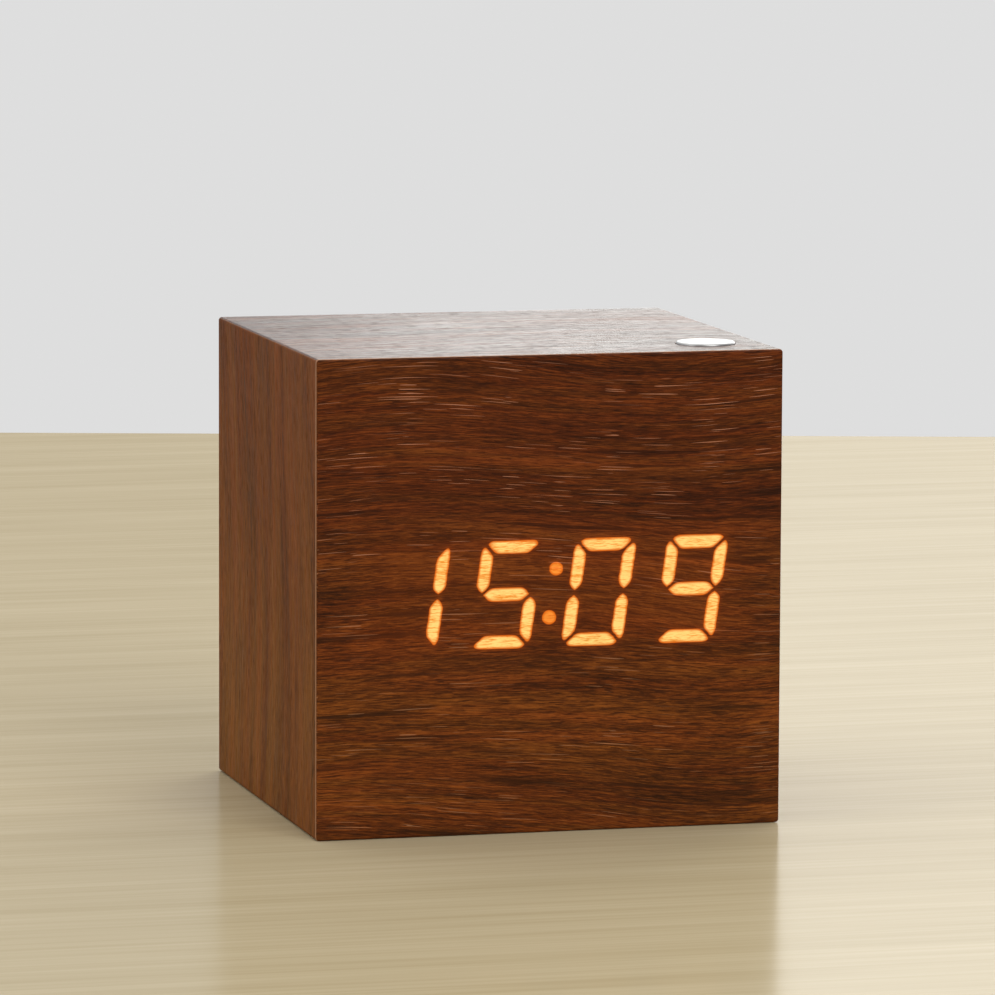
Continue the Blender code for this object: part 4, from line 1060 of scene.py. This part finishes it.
# -------- the battery bay
def make_tray(plastic):
    """The battery tray, open below, with wire slots and sockets for the door's pins."""
    low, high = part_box("battery_tray")
    piece = as_piece("battery_tray_moulding", box_mesh(low, high), plastic)
    bevel(piece, 0.25 * MM)
    hollow = box_mesh(
        (low.x + TRAY_WALL, low.y + TRAY_WALL, low.z - PAST),
        (high.x - TRAY_WALL, high.y - TRAY_WALL, high.z - TRAY_WALL),
    )
    slots = bmesh.new()
    for side in (1, -1):
        y = -side * CELL_PITCH
        x = side * (high.x - TRAY_WALL - 0.5 * MM)
        slot_low = (x - 0.6 * MM, y - 1.8 * MM, high.z - TRAY_WALL - PAST)
        box_mesh(slot_low, (x + 0.6 * MM, y + 1.8 * MM, high.z + PAST), slots)
    bore = 0.55 * MM
    back_end = high.y - TRAY_WALL + 0.8 * MM
    front_end = low.y + TRAY_WALL - 0.8 * MM
    profile = [(0, back_end), (bore, back_end), (bore, front_end), (0, front_end)]
    sockets = turned_mesh(profile, HINGE, "+Y", 24)
    cut(piece, plastic, tray_hollow=hollow, tray_slots=slots, pin_sockets=sockets)
    fit(shade(piece), "case", "black_plastic", "battery_tray")


def make_door(plastic):
    """The door: its barrel and pins, a latch between two slots, grip grooves and an arrow."""
    low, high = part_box("battery_door")
    thick = 1.4 * MM
    half = thick / 2
    half_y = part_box("battery_tray")[1].y - TRAY_WALL - 0.12 * MM
    top = low.z + thick
    panel = box_mesh((low.x, -half_y, low.z), (HINGE[0], half_y, top))
    piece = as_piece("battery_door_moulding", panel, plastic)
    bevel(piece, 0.2 * MM)
    profile = [(0, half_y), (half, half_y), (half, -half_y), (0, -half_y)]
    barrel = turned_mesh(profile, HINGE, "+Y", 32)
    pin = 0.45 * MM
    eased = 0.1 * MM
    profile = [(0, high.y), (pin - eased, high.y), (pin, high.y - eased)]
    profile += [(pin, low.y + eased), (pin - eased, low.y), (0, low.y)]
    pins = turned_mesh(profile, HINGE, "+Y", 24)
    hook = box_mesh(
        (low.x + 0.1 * MM, -2.8 * MM, top - 0.5 * MM), (low.x + 0.9 * MM, 2.8 * MM, high.z)
    )
    fuse(piece, plastic, door_barrel=barrel, door_pins=pins, door_hook=hook)
    slots = bmesh.new()
    for y in (-4 * MM, 4 * MM):
        slot_low = (low.x - PAST, y - 0.3 * MM, low.z - PAST)
        box_mesh(slot_low, (low.x + 7 * MM, y + 0.3 * MM, high.z + PAST), slots)
    grooves = bmesh.new()
    for number in range(5):
        x = low.x + (1.3 + 1.1 * number) * MM
        groove_high = (x + 0.5 * MM, 3 * MM, low.z + 0.35 * MM)
        box_mesh((x, -3 * MM, low.z - PAST), groove_high, grooves)
    tip = low.x + 9 * MM
    barb = tip + 2.4 * MM
    tail = tip + 5.4 * MM
    upper = [(barb, 1.8 * MM), (barb, 0.7 * MM), (tail, 0.7 * MM)]
    outline = [(tip, 0), *upper, *[(u, -v) for u, v in reversed(upper)]]
    arrow = outline_mesh(outline, "Z", low.z - PAST, low.z + 0.25 * MM)
    cut(piece, plastic, latch_slots=slots, grip_grooves=grooves, door_arrow=arrow)
    fit(shade(piece), "battery_door", "black_plastic", "battery_door")


def make_cells():
    """Three cells side by side, the middle one turned round."""
    nub = 0.8 * MM
    nub_radius = 1.9 * MM
    crimp = 0.35 * MM
    round_off = 0.1 * MM
    for number in range(1, 4):
        low, high, centre = measured(f"battery_cell_{number}")
        length = high.x - low.x
        radius = (high.z - low.z) / 2
        side = -1 if number == 2 else 1
        shoulder = length - nub
        groove = shoulder - round_off
        profile = [(0, length), (1.65 * MM, length), (nub_radius, length - 0.25 * MM)]
        profile += [(nub_radius, shoulder + 0.05 * MM), (2.3 * MM, groove), (4.1 * MM, groove)]
        profile += [(4.3 * MM, shoulder), (radius - crimp, shoulder)]
        profile += [(radius - round_off, groove), (radius, shoulder - crimp), (radius, crimp)]
        profile += [(radius - round_off, round_off), (radius - crimp, 0)]
        profile += [(3.6 * MM, 0), (3.4 * MM, 0.15 * MM), (0, 0.15 * MM)]
        start = centre.x - side * length / 2
        bm = turned_mesh(profile, (start, centre.y, centre.z), "+X" if side > 0 else "-X")
        finish = cell_sleeve(f"cell_sleeve_{number}", centre.x, side)
        piece = as_piece(f"battery_cell_{number}_can", bm, finish)
        fit(shade(piece), "case", "cell_jacket", f"battery_cell_{number}")


# -------- the pieces that keep their solids
def paint_kept_nodes(finishes):
    """Gives every solid the finish of its own slot."""
    slots = {s["node"]: s["material_slot"] for s in frame["record"]["subparts"]}
    for name, node in frame["nodes"].items():
        finish = finishes[slots[name]]
        node.data.materials.clear()
        node.data.materials.append(finish)


# -------- floor, light and camera
YAW = 0.2600  # how far the camera is turned to its right, in radians
FLOOR_REACH = 2.0
FLOOR_FAR_EDGE = 0.433
FLOOR_UNDER = -0.03
FLOOR_SHEEN = 0.13  # the sheen's share of the floor's light


def make_floor():
    """A pale matt surface with a faint sheen, which ends behind the clock as a table does."""
    recipe = Recipe("pale_floor", 0.6)
    cloud = recipe.noise(recipe.place, (90, 9, 9), 2.0, 0.5)
    lines = recipe.noise(recipe.place, (50, 1.1, 1.1), 1.0, 0.5, 6)
    grain = recipe.weigh(lines, 0.5, cloud)
    colour = recipe.ramp(grain, [(0.3, (0.47, 0.385, 0.235)), (0.7, (0.56, 0.47, 0.31))])
    matt = recipe.add("ShaderNodeBsdfDiffuse", {"Color": colour}).outputs[0]
    sheen = recipe.add("ShaderNodeBsdfGlossy", {"Roughness": 0.17}).outputs[0]
    blend = recipe.add("ShaderNodeMixShader", {0: FLOOR_SHEEN, 1: matt, 2: sheen})
    surface = recipe.tree.nodes["Material Output"].inputs["Surface"]
    feed(recipe.tree, surface, blend.outputs[0])
    turn = Matrix.Rotation(-YAW, 2)
    near = [(-FLOOR_REACH, -FLOOR_REACH), (FLOOR_REACH, -FLOOR_REACH)]
    far = [(FLOOR_REACH, FLOOR_FAR_EDGE), (-FLOOR_REACH, FLOOR_FAR_EDGE)]
    corners = [turn @ Vector(corner) for corner in near + far]
    bm = outline_mesh(corners, "Z", FLOOR_UNDER, -0.05 * MM)
    as_piece("floor", bm, recipe.material)


def make_light():
    """A bright room that is paler behind the clock, and four soft lamps round it."""
    world = bpy.data.worlds.new("studio")
    bpy.context.scene.world = world
    world.use_nodes = True
    tree = world.node_tree
    sky = tree.nodes["Background"].inputs
    place = add_node(tree, "ShaderNodeTexCoord").outputs["Generated"]
    depth = add_node(tree, "ShaderNodeSeparateXYZ", {0: place}).outputs[1]
    limits = {0: depth, "From Min": -0.5, "From Max": 0.8, "To Min": 0.30, "To Max": 0.75}
    ramp = add_node(tree, "ShaderNodeMapRange", limits, interpolation_type="SMOOTHSTEP")
    feed(tree, sky["Color"], (0.975, 0.975, 0.975, 1))
    feed(tree, sky["Strength"], ramp.outputs[0])

    for name, place, size, power in (  # in metres and watts
        ("back_softbox", (0.79, 1.3, 0.62), 1.1, 8.6),
        ("high_softbox", (-0.1, 0.1, 1.1), 2.2, 8.5),
        ("side_softbox", (-0.9, -0.2, 0.5), 0.5, 1.5),
        ("front_fill", (0.25, -1.0, 0.75), 0.6, 5.5),
    ):
        data = bpy.data.lights.new(name, "AREA")
        data.shape = "SQUARE"
        data.size = size
        data.energy = power
        data.color = (1.0, 0.995, 0.955)
        lamp = bpy.data.objects.new(name, data)
        lamp.location = place
        lamp.visible_camera = False
        aim = Vector((0, 0, 0.03)) - Vector(place)
        lamp.rotation_euler = aim.to_track_quat("-Z", "Y").to_euler()
        bpy.context.scene.collection.objects.link(lamp)


def make_camera():
    """A long lens, a little to the left and above, as a product shot has."""
    data = bpy.data.cameras.new("camera")
    data.sensor_width = 36
    data.lens = 245.8
    camera = bpy.data.objects.new("camera", data)
    camera.location = (-0.23668, -0.89145, 0.15659)
    pitch, roll = -0.1243, 0.0042
    forward = Vector(
        (math.sin(YAW) * math.cos(pitch), math.cos(YAW) * math.cos(pitch), math.sin(pitch))
    )
    right = Vector((math.cos(YAW), -math.sin(YAW), 0))
    up = right.cross(forward)
    tilted_right = right * math.cos(roll) + up * math.sin(roll)
    tilted_up = up * math.cos(roll) - right * math.sin(roll)
    turn = Matrix((tilted_right, tilted_up, -forward)).transposed()
    camera.rotation_euler = turn.to_euler()
    bpy.context.scene.collection.objects.link(camera)
    bpy.context.scene.camera = camera
    bpy.context.scene.view_settings.view_transform = "Standard"


# -------- the clock
make_camera()
make_light()
make_floor()

raw_edge = fibreboard("stained_fibreboard_edge", (0.10, 0.045, 0.022))
black_plastic = moulded_plastic("black_plastic", (0.014, 0.014, 0.015))
white_plastic = moulded_plastic("white_plastic", (0.72, 0.72, 0.69), 0.3, 0.3)
screw_steel = plated_metal("zinc_steel", (0.62, 0.62, 0.60), 0.3)
back_screw_steel = plated_metal(
    "zinc_steel_painted_recess_shade", (0.62, 0.62, 0.60), 0.3, head_face=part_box("back_screw_1")[1].y
)
nickel = plated_metal("nickel_plate", (0.74, 0.71, 0.66), 0.25, "Y")
gold = plated_metal("gold_contacts", (0.85, 0.62, 0.26), 0.22, "Y")
socket_steel = plated_metal("tinned_steel", (0.66, 0.66, 0.65), 0.28, "Y")

paint_kept_nodes(
    {
        "front_veneer": fibreboard("spare_front"),
        "case_walnut": raw_edge,
        "back_walnut": raw_edge,
        "mdf": fibreboard("raw_fibreboard", (0.34, 0.22, 0.12)),
        "button_aluminium": screw_steel,
        "screw_steel": screw_steel,
        "nickel_plate": nickel,
        "socket_steel": socket_steel,
        "black_plastic": black_plastic,
        "switch_plastic": moulded_plastic("switch_plastic", (0.02, 0.02, 0.022), 0.35, 0.2),
        "white_plastic": white_plastic,
        "amber_resin": amber_resin("amber_resin"),
        "circuit_board": circuit_board("green_circuit_board"),
        "chip_resin": moulded_plastic("chip_resin", (0.012, 0.012, 0.013), 0.5, 0.15),
        "cell_jacket": black_plastic,
        "red_wire": wire_cover("red_wire_cover", (0.42, 0.012, 0.012)),
        "black_wire": wire_cover("black_wire_cover", (0.016, 0.016, 0.016)),
        "grey_wire": wire_cover("grey_ribbon", (0.30, 0.30, 0.31)),
    }
)

make_front_sheet()
make_case(raw_edge)
make_back_sheet(raw_edge)
make_top_disc()
make_control_plate(black_plastic)
make_keys(black_plastic, moulded_plastic("key_mark_white", (0.55, 0.55, 0.53), 0.4, 0.2))
make_socket(socket_steel, white_plastic, gold)
make_back_screws(back_screw_steel)
make_tray(black_plastic)
make_door(black_plastic)
make_cells()
